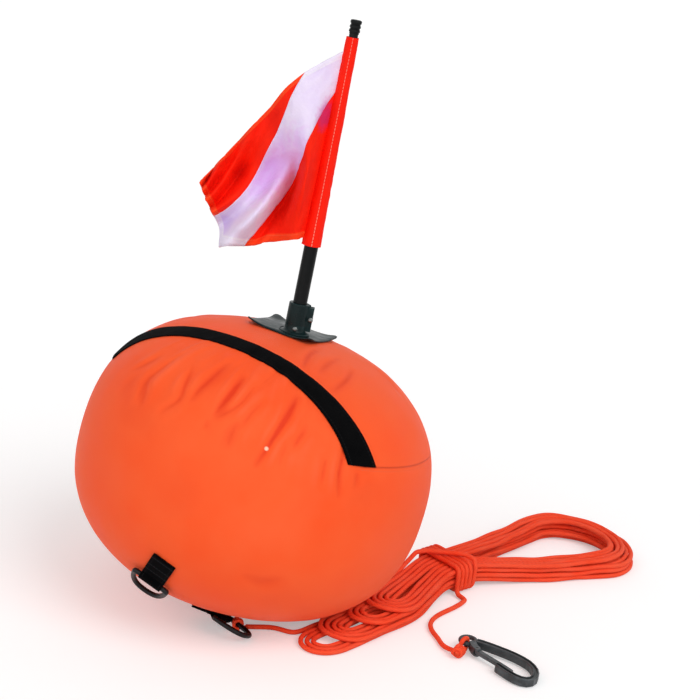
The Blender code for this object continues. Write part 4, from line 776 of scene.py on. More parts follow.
def strap_loop(wire, out, upward, wire_radius):
    """Cord through the hook's eye and back to its knot, in the plane of two directions."""
    side = np.cross(out, upward)
    radius = wire_radius + LINE / 2 + 0.0004
    reach, slant, strand = LOOP_TO_KNOT - KNOT_LENGTH / 2 + 0.0015, radius * sqrt(0.5), 0.0027
    path = [(reach, strand, -0.0008), (reach - 0.0036, strand, -0.0004), (slant + 0.0008, 0.0018, slant),
            (slant * 0.5, 0.0012, radius * 0.93), (0.0, 0.0006, radius), (-slant, 0.0002, slant),
            (-radius, 0.0, 0.0),
            (-slant, -0.0002, -slant), (0.0, -0.0006, -radius), (slant * 0.5, -0.0012, -radius * 0.93),
            (slant + 0.0008, -0.0018, -slant), (reach - 0.0036, -strand, -0.0027), (reach, -strand, -0.0025)]
    return np.array([wire + a * out + b * side + c * upward for a, b, c in path])


def make_line_knot():
    """Strangle knot: three turns round the two strands of the loop, with one strand crossing them."""
    turns = helix(knot_spot, knot_out, KNOT_WIDTH / 2 - KNOT_CORD / 2, 3.0, KNOT_LENGTH - KNOT_CORD, start=0.6)
    cross = [turns[-1], turns[-1] * 0.5 + knot_spot * 0.5 - knot_out * 0.001 + (0, 0, 0.0066),
             knot_spot + (0, 0, 0.0064),
             turns[0] * 0.45 + knot_spot * 0.55 + (0, 0, 0.0048), turns[0]]
    knot = knot_piece("line_knot_turns", np.vstack([turns, smooth_path(cross, 0.0015)[1:-1]]), KNOT_CORD,
                      "float")
    core = knot_piece("line_knot_core",
                      [knot_spot - knot_out * 0.0058, knot_spot, knot_spot + knot_out * 0.0066],
                      0.0052, "float")
    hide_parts("line_knot")
    return [knot, core]


def make_lead_knot():
    """Round turn and two half hitches on the ring's wire."""
    low, high = (np.array(corner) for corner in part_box("lead_knot"))
    centre = (low + high) / 2
    print("lead knot centre in mm:", np.round(centre * 1000, 1), "size", np.round((high - low) * 1000, 1))
    turns = helix(centre, level_way(RING_WIRE_HEADING), 0.0042, 2.6, 0.0078, start=1.2)
    end = np.array([line_path[0] - lead_way * 0.004, line_path[0] + lead_way * 0.0006])
    knot = knot_piece("lead_knot_turns", np.vstack([turns[:-2], end]), 0.0035, "lower_ring")
    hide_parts("lead_knot")
    return knot


hook_loop = knot_piece("hook_eye_loop", strap_loop(eye_wire, knot_out, np.array([0.0, 0.0, 1.0]), EYE_WIRE / 2),
                       LINE * 0.92, "float")
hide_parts("hook_loop")
line_knots = make_line_knot()
lead_knot = make_lead_knot()

# %% [markdown]
# The float is a flattened ball that leans over on the floor. Its outline is a rounded oblong turned
# about its own axis: a point's distance from the axis and its height obey (r/R)^n + (h/H)^n = 1 with
# n = 2.42, a little squarer than an ellipse. Where it meets the floor, it is pressed flat.

# %% Shape of the float
FLOAT_RADIUS, FLOAT_HALF_HEIGHT, SQUARENESS = 0.1766, 0.1400, 2.42
LEAN_RIGHT, LEAN_BACK, FLAT_DEPTH = radians(11.0), radians(7.6), 0.006
GAP, SEAM_HEIGHT, FRONT_AZIMUTH = 0.0003, 0.066, radians(-30.0)
BACK_EDGE, FRONT_EDGE = (0.0399, 0.246), (0.0786, 0.118)


def rest_height():
    """Height of the float's middle: the reach of its outline straight down, less the pressed flat."""
    lean = acos(cos(LEAN_RIGHT) * cos(LEAN_BACK))
    power = SQUARENESS / (SQUARENESS - 1)
    reach = (FLOAT_RADIUS * sin(lean)) ** power + (FLOAT_HALF_HEIGHT * cos(lean)) ** power
    return reach ** (1 / power) - FLAT_DEPTH


REST_HEIGHT = rest_height()
FLOAT_TURN = Euler((-LEAN_BACK, LEAN_RIGHT, 0.0)).to_matrix()
FLOAT_PLACE = Matrix.Translation((0, 0, REST_HEIGHT)) @ FLOAT_TURN.to_4x4()
float_axes = np.array(FLOAT_TURN)
front_way = np.array([sin(FRONT_AZIMUTH), -cos(FRONT_AZIMUTH), 0.0])
side_way = np.array([cos(FRONT_AZIMUTH), sin(FRONT_AZIMUTH), 0.0])


def to_world(points, place=FLOAT_PLACE):
    """Points of a tilted frame in the shared frame: turned by its three axes, then shifted."""
    matrix = np.array(place)
    return np.asarray(points) @ matrix[:3, :3].T + matrix[:3, 3]


def on_skin(points):
    """The skin's point on the line from the float's middle through each point.

    A point's share of the way out is ((r/R)^n + (h/H)^n)^(1/n), which is 1 on the skin.
    """
    r = np.hypot(points[..., 0], points[..., 1]) / FLOAT_RADIUS
    h = np.abs(points[..., 2]) / FLOAT_HALF_HEIGHT
    return points / ((r ** SQUARENESS + h ** SQUARENESS) ** (1 / SQUARENESS))[..., None]


def skin_normal(points):
    """Outward direction of the skin: the slope of the outline's formula."""
    r = np.maximum(np.hypot(points[..., 0], points[..., 1]), 1e-9)
    slope_r = (r / FLOAT_RADIUS) ** (SQUARENESS - 1) / FLOAT_RADIUS
    slope_h = (np.abs(points[..., 2]) / FLOAT_HALF_HEIGHT) ** (SQUARENESS - 1) / FLOAT_HALF_HEIGHT
    return unit(np.stack([slope_r * points[..., 0] / r, slope_r * points[..., 1] / r,
                          slope_h * np.sign(points[..., 2])], axis=-1))


def by_degrees(pairs):
    """Skin points from (azimuth, height) angles in degrees. Azimuth 0 faces the camera's side."""
    azimuth, rise = np.radians(np.asarray(pairs, dtype=float)).T
    return on_skin(np.stack([np.sin(azimuth) * np.cos(rise), -np.cos(azimuth) * np.cos(rise), np.sin(rise)],
                            axis=-1))


print("float's middle is", round(REST_HEIGHT * 1000, 2), "mm above the floor")

# %% [markdown]
# The cover is sewn from flat cloth and pulled over a ball, so it has more cloth than it needs below
# its closure. The spare cloth lies in folds that run down from the tape. Cloth simulation would give
# folds, but not these folds, so each one that shows is laid one by one as a path on the skin, and finer
# puckers come from smooth seeded noise stretched along the same way.

# %% Folds of the cover
# Depth and half width in mm, then the path as (azimuth, height) in degrees
CREASES = (
    (3.0, 4.5, (7.1, 41), (4.3, 33.5), (1.5, 26), (-0.1, 20.8), (-1.7, 16)),
    (1.2, 4.5, (-58.5, 35), (-60.6, 30), (-63.6, 26)),
    (1.5, 5.0, (-51.5, 39), (-51.6, 32.6), (-52.4, 26), (-50.5, 21)),
    (1.9, 5.0, (-41.2, 39), (-36.8, 31), (-35.2, 26), (-38, 20.7)),
    (1.6, 6.0, (-29.3, 45), (-29.7, 37), (-30.7, 32), (-31.1, 26)),
    (2.3, 5.0, (-17.9, 42), (-19, 33.7), (-20.5, 26.8)),
    (1.9, 4.5, (-12, 40.6), (-13.2, 34.4), (-15.4, 30), (-18.5, 26.4)),
    (1.4, 5.0, (-6.1, 36), (-8.4, 31.6), (-9.7, 26)),
    (1.0, 6.0, (-3.3, 53), (-7.8, 45.4), (-10.5, 39.6)),
    (1.5, 5.0, (11.8, 30.5), (9.8, 27), (8.5, 23)),
    (1.0, 5.0, (5.9, 26), (5.4, 21.7), (5.3, 17.3)),
    (2.0, 4.5, (27.2, 30), (26.3, 24), (25.6, 18.4), (26.7, 12)),
    (1.5, 4.5, (20.3, 23), (19.9, 19), (20, 14)),
    (2.0, 4.5, (53.8, 76), (19, 68), (10.4, 58)),
    (1.4, 4.5, (63.4, 68), (33.6, 63), (22, 56.9)),
    (1.6, 4.5, (56.5, 60), (39.2, 54), (26.4, 47.7)),
    (1.0, 4.0, (32.5, 20), (32.5, 16)),
    (1.0, 6.0, (-52.3, 27), (-49.5, 22.7), (-47.5, 18.5)),
    (1.0, 6.0, (-12, 27), (-12.4, 22.4), (-12.2, 18)),
    (0.9, 5.0, (-21.8, 24.5), (-21.5, 20.7)),
    (1.0, 6.0, (-26.7, -14.5), (-23.7, -17), (-24.9, -22.4)),
    (0.9, 8.0, (3.6, -19.3), (10.8, -20), (16.9, -17.5)),
    (1.8, 5.0, (100, 60), (92, 52), (84, 44)),
    (1.4, 6.0, (140, 62), (148, 50), (150, 38)),
    (1.3, 6.0, (-160, 60), (-166, 46), (-160, 36)),
    (1.2, 7.0, (-110, 58), (-116, 44), (-112, 32)),
)
FRONT_FOOT, FRONT_HEAD = np.array([-0.0660, -0.1210, -0.1000]), np.array([-0.0600, -0.1505, -0.0693])


def cloud(points, size, seed):
    """Smooth random field from -1 to 1: seeded values on a cubic lattice, eased in between."""
    lattice = np.random.default_rng(seed).uniform(-1, 1, (24, 24, 24))
    place = np.asarray(points) / size
    cell = np.floor(place).astype(int)
    t = ease(place - cell)
    total = 0.0
    for corner in np.ndindex(2, 2, 2):
        share = np.prod([t[..., k] if corner[k] else 1 - t[..., k] for k in range(3)], axis=0)
        spot = tuple((cell[..., k] + corner[k]) % 24 for k in range(3))
        total = total + share * lattice[spot]
    return total


def crease_depth(points, path, depth, width):
    """One fold: a bell-shaped valley along its path, a low ridge on both sides, fading at its ends."""
    line = on_skin(smooth_path(by_degrees(path), 0.0016))
    share = np.linspace(0, 1, len(line))
    strength = np.sin(pi * np.clip(share * 0.92 + 0.04, 0, 1)) ** 0.6
    away = np.full(points.shape[:-1], 1.0)
    weight = np.zeros(points.shape[:-1])
    for spot, power in zip(line, strength):
        reach = np.linalg.norm(points - spot, axis=-1)
        nearer = reach < away
        away = np.where(nearer, reach, away)
        weight = np.where(nearer, power, weight)
    valley = np.exp(-np.abs(away / (0.50 * width)) ** 1.3) + 0.35 * np.exp(-(away / (1.8 * width)) ** 2)
    ridge = np.exp(-((away - 1.7 * width) / (1.0 * width)) ** 2)
    return weight * depth * (0.40 * ridge - 0.9 * valley)


def fold_height(points):
    """How far the cloth stands off the plain skin, in metres: creases, puckers and a slow sag."""
    azimuth = np.degrees(np.arctan2(points[..., 0], -points[..., 1]))
    rise = np.degrees(np.arctan2(points[..., 2], np.hypot(points[..., 0], points[..., 1])))
    total = sum(crease_depth(points, path, depth / 1000, width / 1000) for depth, width, *path in CREASES)
    # Puckers run down from the tape, and are strongest on the front's upper half
    front = np.exp(-((azimuth + 22) / 46) ** 4) * np.exp(-((rise - 36) / 21) ** 4)
    for wide, tall, depth, shift, seed in ((0.011, 19.0, 0.00075, 40.0, 3), (0.006, 11.0, 0.00030, 90.0, 6)):
        place = np.stack([np.radians(azimuth) * 0.17 / wide, rise / tall, np.zeros_like(rise)], axis=-1)
        total = total + front * depth * cloud(place + shift, 1.0, seed)
    total = total + 0.00055 * cloud(points + 1.0, 0.055, 9) + 0.00018 * cloud(points + 1.0, 0.019, 12)
    # No fold runs under the patch or under the front tab's strap
    patch = np.linalg.norm(points[..., :2] - np.array([-0.002, 0.020]), axis=-1)
    calm = np.where(points[..., 2] > 0, climb(patch, 0.042, 0.020), 1.0)
    for spot in on_skin(np.array([FRONT_FOOT, FRONT_HEAD])):
        calm = calm * climb(np.linalg.norm(points - spot, axis=-1), 0.016, 0.020)
    return total * calm


# %% [markdown]
# The cover is cut in two, as the real one is: the crown behind the closure, and the front with the
# whole bowl. One grid of the ball, with the folds in it, is cut with two planes, and each part gets
# the cloth's thickness from a Solidify modifier.

# %% Finish of the cover
# The mouth lies midway under the tape, in the slanted plane p = middle + slope h
MOUTH_MIDDLE, MOUTH_SLOPE = ((back + front) / 2 for back, front in zip(BACK_EDGE, FRONT_EDGE))
MOUTH_WAY = float_axes @ (front_way - np.array([0.0, 0.0, MOUTH_SLOPE]))
MOUTH_OFFSET = MOUTH_MIDDLE + MOUTH_WAY[2] * REST_HEIGHT


def off_plane(tree, place, way, offset):
    """Distance from a plane, for a seam that lies in it."""
    along = add_node(tree, "VectorMath", output=1, settings={"operation": "DOT_PRODUCT"}, s0=place,
                     s1=tuple(way))
    return math_node(tree, "SUBTRACT", along, offset)


def make_cover_finish():
    material, tree, shader, place, metres = new_finish(
        "cover_nylon", Roughness=0.62, Sheen_Weight=0.04, Sheen_Roughness=0.45, Specular_IOR_Level=0.15)
    threads = woven(tree, metres, 1500.0)
    cloudy = mottled(tree, place, 9.0)
    dusty = mottled(tree, place, 34.0, 5.0)
    shade = blend_colours(tree, cloudy, colour(255, 84, 30), colour(255, 93, 40))
    shade = tint(tree, shade, dusty, 0.30, colour(255, 102, 54))
    fold = add_node(tree, "Attribute", output="Fac", settings={"attribute_name": "fold"})
    # Painted shade: darker red in the creases, by the fold's depth
    deep = step_between(tree, fold, -0.0002, -0.0026)
    shade = tint(tree, shade, deep, 0.80, colour(226, 48, 14))
    # Painted highlight: paler red on the ridges that stand proud beside the creases
    proud = step_between(tree, fold, 0.0002, 0.0012)
    shade = tint(tree, shade, proud, 0.30, colour(255, 116, 78))
    height = off_plane(tree, place, float_axes[:, 2], SEAM_HEIGHT + float_axes[2, 2] * REST_HEIGHT)
    uv = split(tree, metres)
    behind = step_between(tree, off_plane(tree, place, MOUTH_WAY, MOUTH_OFFSET), 0.004, 0.002)
    seam = math_node(tree, "ABSOLUTE", height)
    groove = times(tree, behind, step_between(tree, seam, 0.0014, 0.0002))
    thread, hole = (times(tree, behind, sewn_row(tree, uv[0], height, -0.0032, 0.0036, width, output))
                    for width, output in ((0.00035, "Mask"), (0.00045, "Groove")))
    # Painted shade: darker red in the seam's groove
    shade = tint(tree, shade, groove, 0.55, colour(214, 62, 30))
    shade = tint(tree, shade, thread, 0.7, colour(240, 96, 58))
    tack = distance(tree, place, to_world(on_skin(np.array([-0.0003, -0.1648, 0.0647]))))
    shade = blend_colours(tree, step_between(tree, tack, 0.0026, 0.0016), shade, colour(255, 206, 176))
    tree.links.new(shade, shader["Base Color"])
    rough = math_node(tree, "ADD", 0.52, times(tree, dusty, 0.12))
    tree.links.new(rough, shader["Roughness"])
    add_bump(tree, shader, (threads, 0.00010, 0.5), (math_node(tree, "SUBTRACT", 1.0, groove), 0.0006, 0.6),
             (math_node(tree, "SUBTRACT", 1.0, hole), 0.0003, 0.5))
    return material


cover_finish = make_cover_finish()

# %% Cover
AROUND, ROWS, COVER_WALL = 400, 170, 0.0012


def crowded(count, low, high, middle, reach, extra):
    """Even steps from low to high, made closer round a middle: the sum of a density, read backwards."""
    fine = np.linspace(low, high, 4001)
    density = 1 + extra * np.exp(-((fine - middle) / reach) ** 4)
    total = np.concatenate([[0.0], np.cumsum((density[1:] + density[:-1]) / 2)])
    return np.interp(np.linspace(0, total[-1], count), total, fine)


def ball_grid():
    """The whole skin with its folds, as rows from the bottom to the top.

    Each row turns an outline point, (R cos(a)^(2/n), H sin(a)^(2/n)), about the axis, and then moves
    out by the folds. What would lie below the floor is lifted to it.
    """
    angle = crowded(ROWS + 2, -pi / 2, pi / 2, radians(34), radians(30), 1.9)[1:-1, None]
    azimuth = crowded(AROUND + 1, -pi, pi, radians(-8), radians(70), 1.9)[None, :-1]
    power = 2 / SQUARENESS
    r = FLOAT_RADIUS * np.cos(angle) ** power
    h = FLOAT_HALF_HEIGHT * np.abs(np.sin(angle)) ** power * np.sign(angle)
    points = np.stack(np.broadcast_arrays(r * np.sin(azimuth), -r * np.cos(azimuth), h), axis=-1)
    fold = fold_height(points)
    sink = COVER_WALL * np.tanh(np.minimum(fold, 0) / 0.0015)
    points = points + (sink + 1.25 * np.maximum(fold, 0))[..., None] * skin_normal(points)
    floor_way = float_axes[2]
    depth = points @ floor_way + REST_HEIGHT
    points = points + np.maximum(0.0004 - depth, 0.0)[..., None] * floor_way
    return points, fold, azimuth


def set_fold(mesh, depths):
    """Write each point's depth of fold, which the finishes read for painted shade and highlights on the folds.
    """
    mesh.attributes.new("fold", "FLOAT", "POINT").data.foreach_set("value", depths.astype(np.float32))


def cover_mesh():
    """The ball as a mesh in the float's own frame, with its UV map in metres and the fold's depth."""
    points, fold, azimuth = ball_grid()
    mesh = bpy.data.meshes.new("ball")
    faces = grid_faces(ROWS, AROUND, close_columns=True)
    count = ROWS * AROUND
    poles = [(0.0, 0.0, points[0, :, 2].mean()), (0.0, 0.0, FLOAT_HALF_HEIGHT)]
    ring = np.arange(AROUND)
    bottom = np.stack([np.full(AROUND, count), (ring + 1) % AROUND, ring], axis=-1)
    top = np.stack([np.full(AROUND, count + 1), (ROWS - 1) * AROUND + ring,
                    (ROWS - 1) * AROUND + (ring + 1) % AROUND], axis=-1)
    mesh.from_pydata(np.vstack([points.reshape(-1, 3), poles]).tolist(), [],
                     faces.tolist() + bottom.tolist() + top.tolist())
    along = running_length(points[:, 0])
    u = np.broadcast_to(azimuth * FLOAT_RADIUS, (ROWS, AROUND))
    v = np.broadcast_to(along[:, None], (ROWS, AROUND))
    uv = np.vstack([np.stack([u, v], axis=-1).reshape(-1, 2), [(0.0, -0.004), (0.0, along[-1] + 0.004)]])
    corners = np.concatenate([faces.ravel(), bottom.ravel(), top.ravel()])
    spots = uv[corners]
    spots[:faces.size][past_the_end(faces % AROUND, AROUND), 0] += 2 * pi * FLOAT_RADIUS
    mesh.uv_layers.new(name="metres").uv.foreach_set("vector", spots.astype(np.float32).ravel())
    set_fold(mesh, np.concatenate([fold.ravel(), [0.0, 0.0]]))
    return mesh


def cut_cover(name, ball, crown):
    """Keep the crown, above the seam and behind the mouth, or everything else."""
    piece = add_object(name, ball.copy())
    planes = [(Vector((0, 0, SEAM_HEIGHT)), Vector((0, 0, 1))),
              (Vector(front_way * MOUTH_MIDDLE), Vector(front_way) - Vector((0, 0, MOUTH_SLOPE)))]
    with editing(piece) as mesh:
        for spot, normal in planes:
            bmesh.ops.bisect_plane(mesh, geom=mesh.verts[:] + mesh.edges[:] + mesh.faces[:], dist=1e-7,
                                   plane_co=spot, plane_no=normal)
        (seam, over), (mouth, before) = planes
        middles = [(face, face.calc_center_median()) for face in mesh.faces]
        doomed = [face for face, middle in middles
                  if crown != ((middle - seam).dot(over) > 0 and (middle - mouth).dot(before) < 0)]
        bmesh.ops.delete(mesh, geom=doomed, context="FACES")
        mesh.transform(FLOAT_PLACE)
    piece.data.name = name
    piece.data.materials.append(cover_finish)
    piece.data.shade_smooth()
    wall = piece.modifiers.new("cloth", "SOLIDIFY")
    wall.thickness, wall.offset = COVER_WALL, -1.0
    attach(piece, "float")
    return piece


ball = cover_mesh()
cover_bowl = cut_cover("cover_bowl", ball, False)
cover_crown = cut_cover("cover_crown", ball, True)
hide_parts("cover_lower")
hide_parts("cover_upper")
print("cover:", len(cover_bowl.data.polygons), "and", len(cover_crown.data.polygons), "faces")

# %% [markdown]
# The closure is a black hook-and-loop tape, 25 mm wide, that arches over the front and hides the mouth
# through which the ball inside is pumped up. It is a flat band, so it is a small rounded oblong
# profile carried along the arch on the skin. Its two edges lie in two slanted planes, which is how the
# tape lies flat on a ball without a twist.

# %% Finish of tapes and webbing
TAPE_WIDTH, TAPE_WALL = 0.025, 0.0011
TAPE_ROWS = (0.0028, TAPE_WIDTH - 0.0028)


def make_webbing_finish(name, threads, ridge):
    """Black narrow-woven tape: ribs across it, two stitch rows along it, and mottled dust."""
    material, tree, shader, place, metres = new_finish(name, Roughness=0.92, Specular_IOR_Level=0.05)
    uv = split(tree, metres)
    ribs = math_node(tree, "ABSOLUTE", math_node(tree, "SINE", times(tree, uv[0], pi * ridge)))
    cloth = woven(tree, metres, threads)
    dusty = mottled(tree, place, 70.0, 5.0)
    fuzz = add_node(tree, "TexNoise", Vector=place, Scale=1500.0, Detail=2.0)
    shade = blend_colours(tree, dusty, colour(1, 1, 2), colour(5, 5, 6))
    sewn = highest(tree, *(sewn_row(tree, uv[0], uv[1], line, 0.0034, 0.00035) for line in TAPE_ROWS))
    shade = tint(tree, shade, sewn, 0.6, colour(30, 30, 33))
    tree.links.new(shade, shader["Base Color"])
    add_bump(tree, shader, (ribs, 0.00018, 0.6), (cloth, 0.00016, 0.6), (fuzz, 0.0002, 0.4),
             (sewn, 0.0003, 0.7))
    return material


tape_finish = make_webbing_finish("closure_tape_weave", 1700.0, 600.0)
strap_finish = make_webbing_finish("strap_weave", 900.0, 420.0)

# %% Closure tape
def arch_points(across, turn):
    """Skin points of the arch. Across runs from the back edge, 0, to the front edge, 1.

    Each point lies in the slanted plane p = a + b h, on a ray that turns from one end of the arch to
    the other about the middle of the seam line. The ray meets the skin where halving finds it.
    """
    a = BACK_EDGE[0] + (FRONT_EDGE[0] - BACK_EDGE[0]) * across
    b = BACK_EDGE[1] + (FRONT_EDGE[1] - BACK_EDGE[1]) * across
    low, high = np.zeros_like(turn + across), np.full_like(turn + across, 0.25)
    for _ in range(34):
        reach = (low + high) / 2
        h = SEAM_HEIGHT + reach * np.sin(turn)
        p, side = a + b * h, reach * np.cos(turn)
        outside = (np.hypot(p, side) / FLOAT_RADIUS) ** SQUARENESS + (h / FLOAT_HALF_HEIGHT) ** SQUARENESS > 1
        low, high = np.where(outside, low, reach), np.where(outside, reach, high)
    return p[..., None] * front_way + side[..., None] * side_way + h[..., None] * np.array([0.0, 0.0, 1.0])


def band_profile(steps):
    """Closed outline of a flat band: (share of the width, share of the wall), with soft corners."""
    middle, bevel = np.linspace(0.03, 0.97, steps), 0.16
    top = [(w, 1.0) for w in middle]
    bottom = [(w, 0.0) for w in middle[::-1]]
    return np.array([(0.0, 0.30), (0.0, 0.70), (0.010, 1 - bevel / 2)] + top
                    + [(0.990, 1 - bevel / 2), (1.0, 0.70), (1.0, 0.30), (0.990, bevel / 2)] + bottom
                    + [(0.010, bevel / 2)])


def make_tape():
    profile = band_profile(12)
    turns = np.linspace(0, pi, 260)[:, None]
    across = profile[None, :, 0]
    points = arch_points(across + 0 * turns, turns + 0 * across)
    lift = GAP + TAPE_WALL * profile[None, :, 1] + np.maximum(fold_height(points), -0.0002)
    lift = lift + 0.00025 * cloud(points + 2.0, 0.012, 21) * (profile[None, :, 1] > 0.5)
    points = to_world(points + lift[..., None] * skin_normal(points))
    along = running_length(points[:, 8])
    piece = grid_piece("closure_band", points, tape_finish, "float", caps=True,
                       lengths=length_grid(along, profile[:, 0] * TAPE_WIDTH))
    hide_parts("closure_tape")
    print("tape:", round(along[-1] * 1000), "mm long")


make_tape()

# %% [markdown]
# The mast stands in a rubber socket on a square rubber patch. The patch is glued and sewn to the
# crown, and its corners lift a little with age. It is a round plate turned square: rings of points run
# from its middle to its rim, over the rim and back under, so that top, edge and underside are one skin.

# %% Finishes of rubber, plastic and steel
def make_moulded_finish(name, base, worn, roughness, grain_size, grain_depth, gloss=0.2):
    """Moulded rubber or plastic: fine grain, rubbed pale edges and a cloudy, dusty sheen."""
    base, worn = colour(*base), colour(*worn)
    material, tree, shader, place, metres = new_finish(name, Roughness=roughness, Specular_IOR_Level=gloss)
    skin = use_group(tree, grain, "Height", Coordinates=place, Size=grain_size)
    rubbed = use_group(tree, edge_wear, "Mask", Coordinates=place, Start=0.51, Full=0.58)
    dusty = mottled(tree, place, 55.0, 5.0)
    shade = blend_colours(tree, times(tree, dusty, 0.6), base, worn)
    shade = tint(tree, shade, rubbed, 0.7, tuple(min(v * 2.0 + 0.01, 1.0) for v in worn[:3]) + (1.0,))
    tree.links.new(shade, shader["Base Color"])
    rough = math_node(tree, "ADD", roughness - 0.06, times(tree, dusty, 0.16))
    tree.links.new(rough, shader["Roughness"])
    add_bump(tree, shader, (skin, grain_depth, 0.5))
    return material


def make_steel_finish():
    """Stainless steel after some seasons at sea: tiny pits and tea-coloured staining."""
    material, tree, shader, place, metres = new_finish("clamp_steel_worn", Metallic=1.0, Roughness=0.34)
    stained = mottled(tree, place, 500.0, 5.0)
    shade = blend_colours(tree, times(tree, stained, 0.45), colour(112, 118, 118), colour(92, 84, 74))
    tree.links.new(shade, shader["Base Color"])
    rough = math_node(tree, "ADD", 0.28, times(tree, stained, 0.25))
    tree.links.new(rough, shader["Roughness"])
    pits = add_node(tree, "TexNoise", Vector=place, Scale=2600.0, Detail=2.0)
    add_bump(tree, shader, (pits, 0.00005, 0.4))
    return material


# Name, base and worn colour, roughness, cells of grain to the metre, depth of the grain and gloss
MOULDED = (
    ("patch_rubber_satin", (3, 22, 23), (8, 36, 37), 0.32, 700.0, 0.00010, 0.16),
    ("mast_tube_satin", (2, 3, 4), (9, 12, 13), 0.36, 1500.0, 0.00004, 0.12),
    ("ring_nylon", (3, 3, 5), (12, 12, 15), 0.34, 1300.0, 0.00005, 0.20),
    ("hook_nylon", (34, 38, 40), (54, 59, 62), 0.38, 1200.0, 0.00006, 0.40),
    ("valve_plastic_satin", (214, 214, 210), (196, 196, 190), 0.45, 900.0, 0.00005),
    ("bladder_film_satin", (244, 176, 84), (236, 164, 76), 0.35, 400.0, 0.00008))
rubber_finish, mast_finish, ring_finish, hook_finish, valve_finish, film_finish = (
    make_moulded_finish(*row) for row in MOULDED)
steel_finish = make_steel_finish()

# %% Mast patch
PATCH_SIDE, PATCH_CORNER, PATCH_WALL = 0.0714, 0.006, 0.0022
PATCH_YAW, PATCH_CENTRE, SAME_SPOT = radians(-24.1), (-0.0020, 0.0200), 1e-6


def rounded_square(side, corner):
    """Outline of a square with round corners, as quarter circles joined by straight edges."""
    reach, outline, per_edge, per_corner = side / 2 - corner, [], 22, 8
    for quarter in range(4):
        (cx, cy), (nx, ny) = ((reach * (1 if q in (0, 3) else -1), reach * (1 if q in (0, 1) else -1))
                              for q in (quarter, (quarter + 1) % 4))
        angle = pi / 2 * (quarter + np.arange(per_corner + 1) / per_corner)
        arc = np.stack([cx + corner * np.cos(angle), cy + corner * np.sin(angle)], axis=-1)
        after = np.array([nx + corner * cos(angle[-1]), ny + corner * sin(angle[-1])])
        t = (np.arange(1, per_edge) / per_edge)[:, None]
        outline += [arc, arc[-1] + (after - arc[-1]) * t]
    return np.vstack(outline)


def drop_to_skin(points):
    """Heights on the crown under flat points: the skin's height where the outline has that radius."""
    r = np.hypot(points[..., 0], points[..., 1]) / FLOAT_RADIUS
    return FLOAT_HALF_HEIGHT * (1 - r ** SQUARENESS) ** (1 / SQUARENESS)


def merge_points(piece):
    """Join points that lie on one spot, such as those of a pole."""
    with editing(piece) as mesh:
        bmesh.ops.remove_doubles(mesh, verts=mesh.verts, dist=SAME_SPOT)
        bmesh.ops.dissolve_degenerate(mesh, edges=mesh.edges, dist=SAME_SPOT)


def make_patch():
    """Rings at shares of the square's outline, each at its own height through the plate's wall."""
    outline = rounded_square(PATCH_SIDE, PATCH_CORNER)
    spin = np.array([[cos(PATCH_YAW), -sin(PATCH_YAW)], [sin(PATCH_YAW), cos(PATCH_YAW)]])
    shares = [0.0] + list(np.linspace(0.12, 0.90, 15)) + [0.93, 0.945, 0.965, 0.985, 0.996, 1.0]
    top = [1.0] * 16 + [0.98, 0.86, 0.83, 0.80, 0.62, 0.40]
    rings = [*zip(shares, top), (0.996, 0.0), (0.96, 0.0), *((s, 0.0) for s in np.linspace(0.85, 0.0, 8))]
    share, level = np.array(rings).T[:, :, None]
    flat = share[..., None] * (outline @ spin.T)[None] + np.array(PATCH_CENTRE)
    x, y = (share[..., None] * outline[None])[..., 0], (share[..., None] * outline[None])[..., 1]
    skin = np.concatenate([flat, drop_to_skin(flat)[..., None]], axis=-1)
    far = np.hypot(x, y)
    curl = 0.0048 * climb(far, 0.0340, 0.0135) ** 1.8
    curl = curl + 0.0012 * climb(far, 0.026, 0.012) * (0.5 + 0.5 * cloud(skin + 3.0, 0.014, 31))
    lift = GAP + PATCH_WALL * level + curl + 0.00012 * cloud(skin + 5.0, 0.006, 33) * (level > 0.9)
    points = to_world(skin + lift[..., None] * skin_normal(skin))
    piece = grid_piece("mast_patch_rubber", points[::-1], rubber_finish, "float")
    merge_points(piece)
    face_outwards(piece)
    soften(piece, radians(50))
    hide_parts("mast_patch")


# %% [markdown]
# The socket is a rubber barrel with a foot flange. It is slit on one side, and a screw through two
# lugs pulls the slit shut round the mast. A turned shape can't have lugs, so the barrel is a C-shaped
# outline carried upwards: out along one lip of the slit, round the barrel, back along the other lip
# and round the bore. Where the flange widens, the outline is only blown up outwards.

# %% Socket
MAST_TILT = radians(-5.4)
MAST_PLACE = FLOAT_PLACE @ Matrix.Translation((0, 0, FLOAT_HALF_HEIGHT)) @ Matrix.Rotation(MAST_TILT, 4, "Y")
SOCKET_RADIUS, SOCKET_TOP, SOCKET_FLOOR = 0.0105, 0.0328, 0.0115
FLANGE_RADIUS, FLANGE_HEIGHT, SLIT_WIDTH = 0.0155, 0.0054, 0.0016
LUG_WALL, LUG_REACH, LUG_FOOT = 0.0036, 0.0052, 0.0060
TUBE_RADIUS, RUNNING_GAP = 0.0070, 0.00035


def turned_points(profile, around):
    """A lathe shape: each (radius, height) of the profile becomes a circle about the axis."""
    radius, height = np.array(profile, dtype=float).T
    angle = 2 * pi * np.arange(around) / around
    return np.stack(np.broadcast_arrays(radius[:, None] * np.cos(angle), radius[:, None] * np.sin(angle),
                                        height[:, None]), axis=-1)


def face_outwards(piece):
    """Turn a closed piece's faces round where its signed volume says that they point inwards."""
    with editing(piece) as mesh:
        if mesh.calc_volume(signed=True) < 0:
            bmesh.ops.reverse_faces(mesh, faces=mesh.faces[:])


def turned_piece(name, profile, finish, body, node=None, around=72, shape=None):
    """A turned piece in the mast's frame. Its profile starts and ends on the axis, or closes on itself."""
    points = turned_points(profile, around)
    if shape is not None:
        points = shape(points)
    reach = 2 * pi * max(r for r, _ in profile)
    lengths = length_grid(running_length(np.array(profile)), np.arange(around) / around * reach)
    piece = grid_piece(name, to_world(points, MAST_PLACE), finish, body, close_rows=profile[0][0] > 1e-6,
                       lengths=lengths)
    merge_points(piece)
    face_outwards(piece)
    soften(piece)
    if node:
        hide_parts(node)


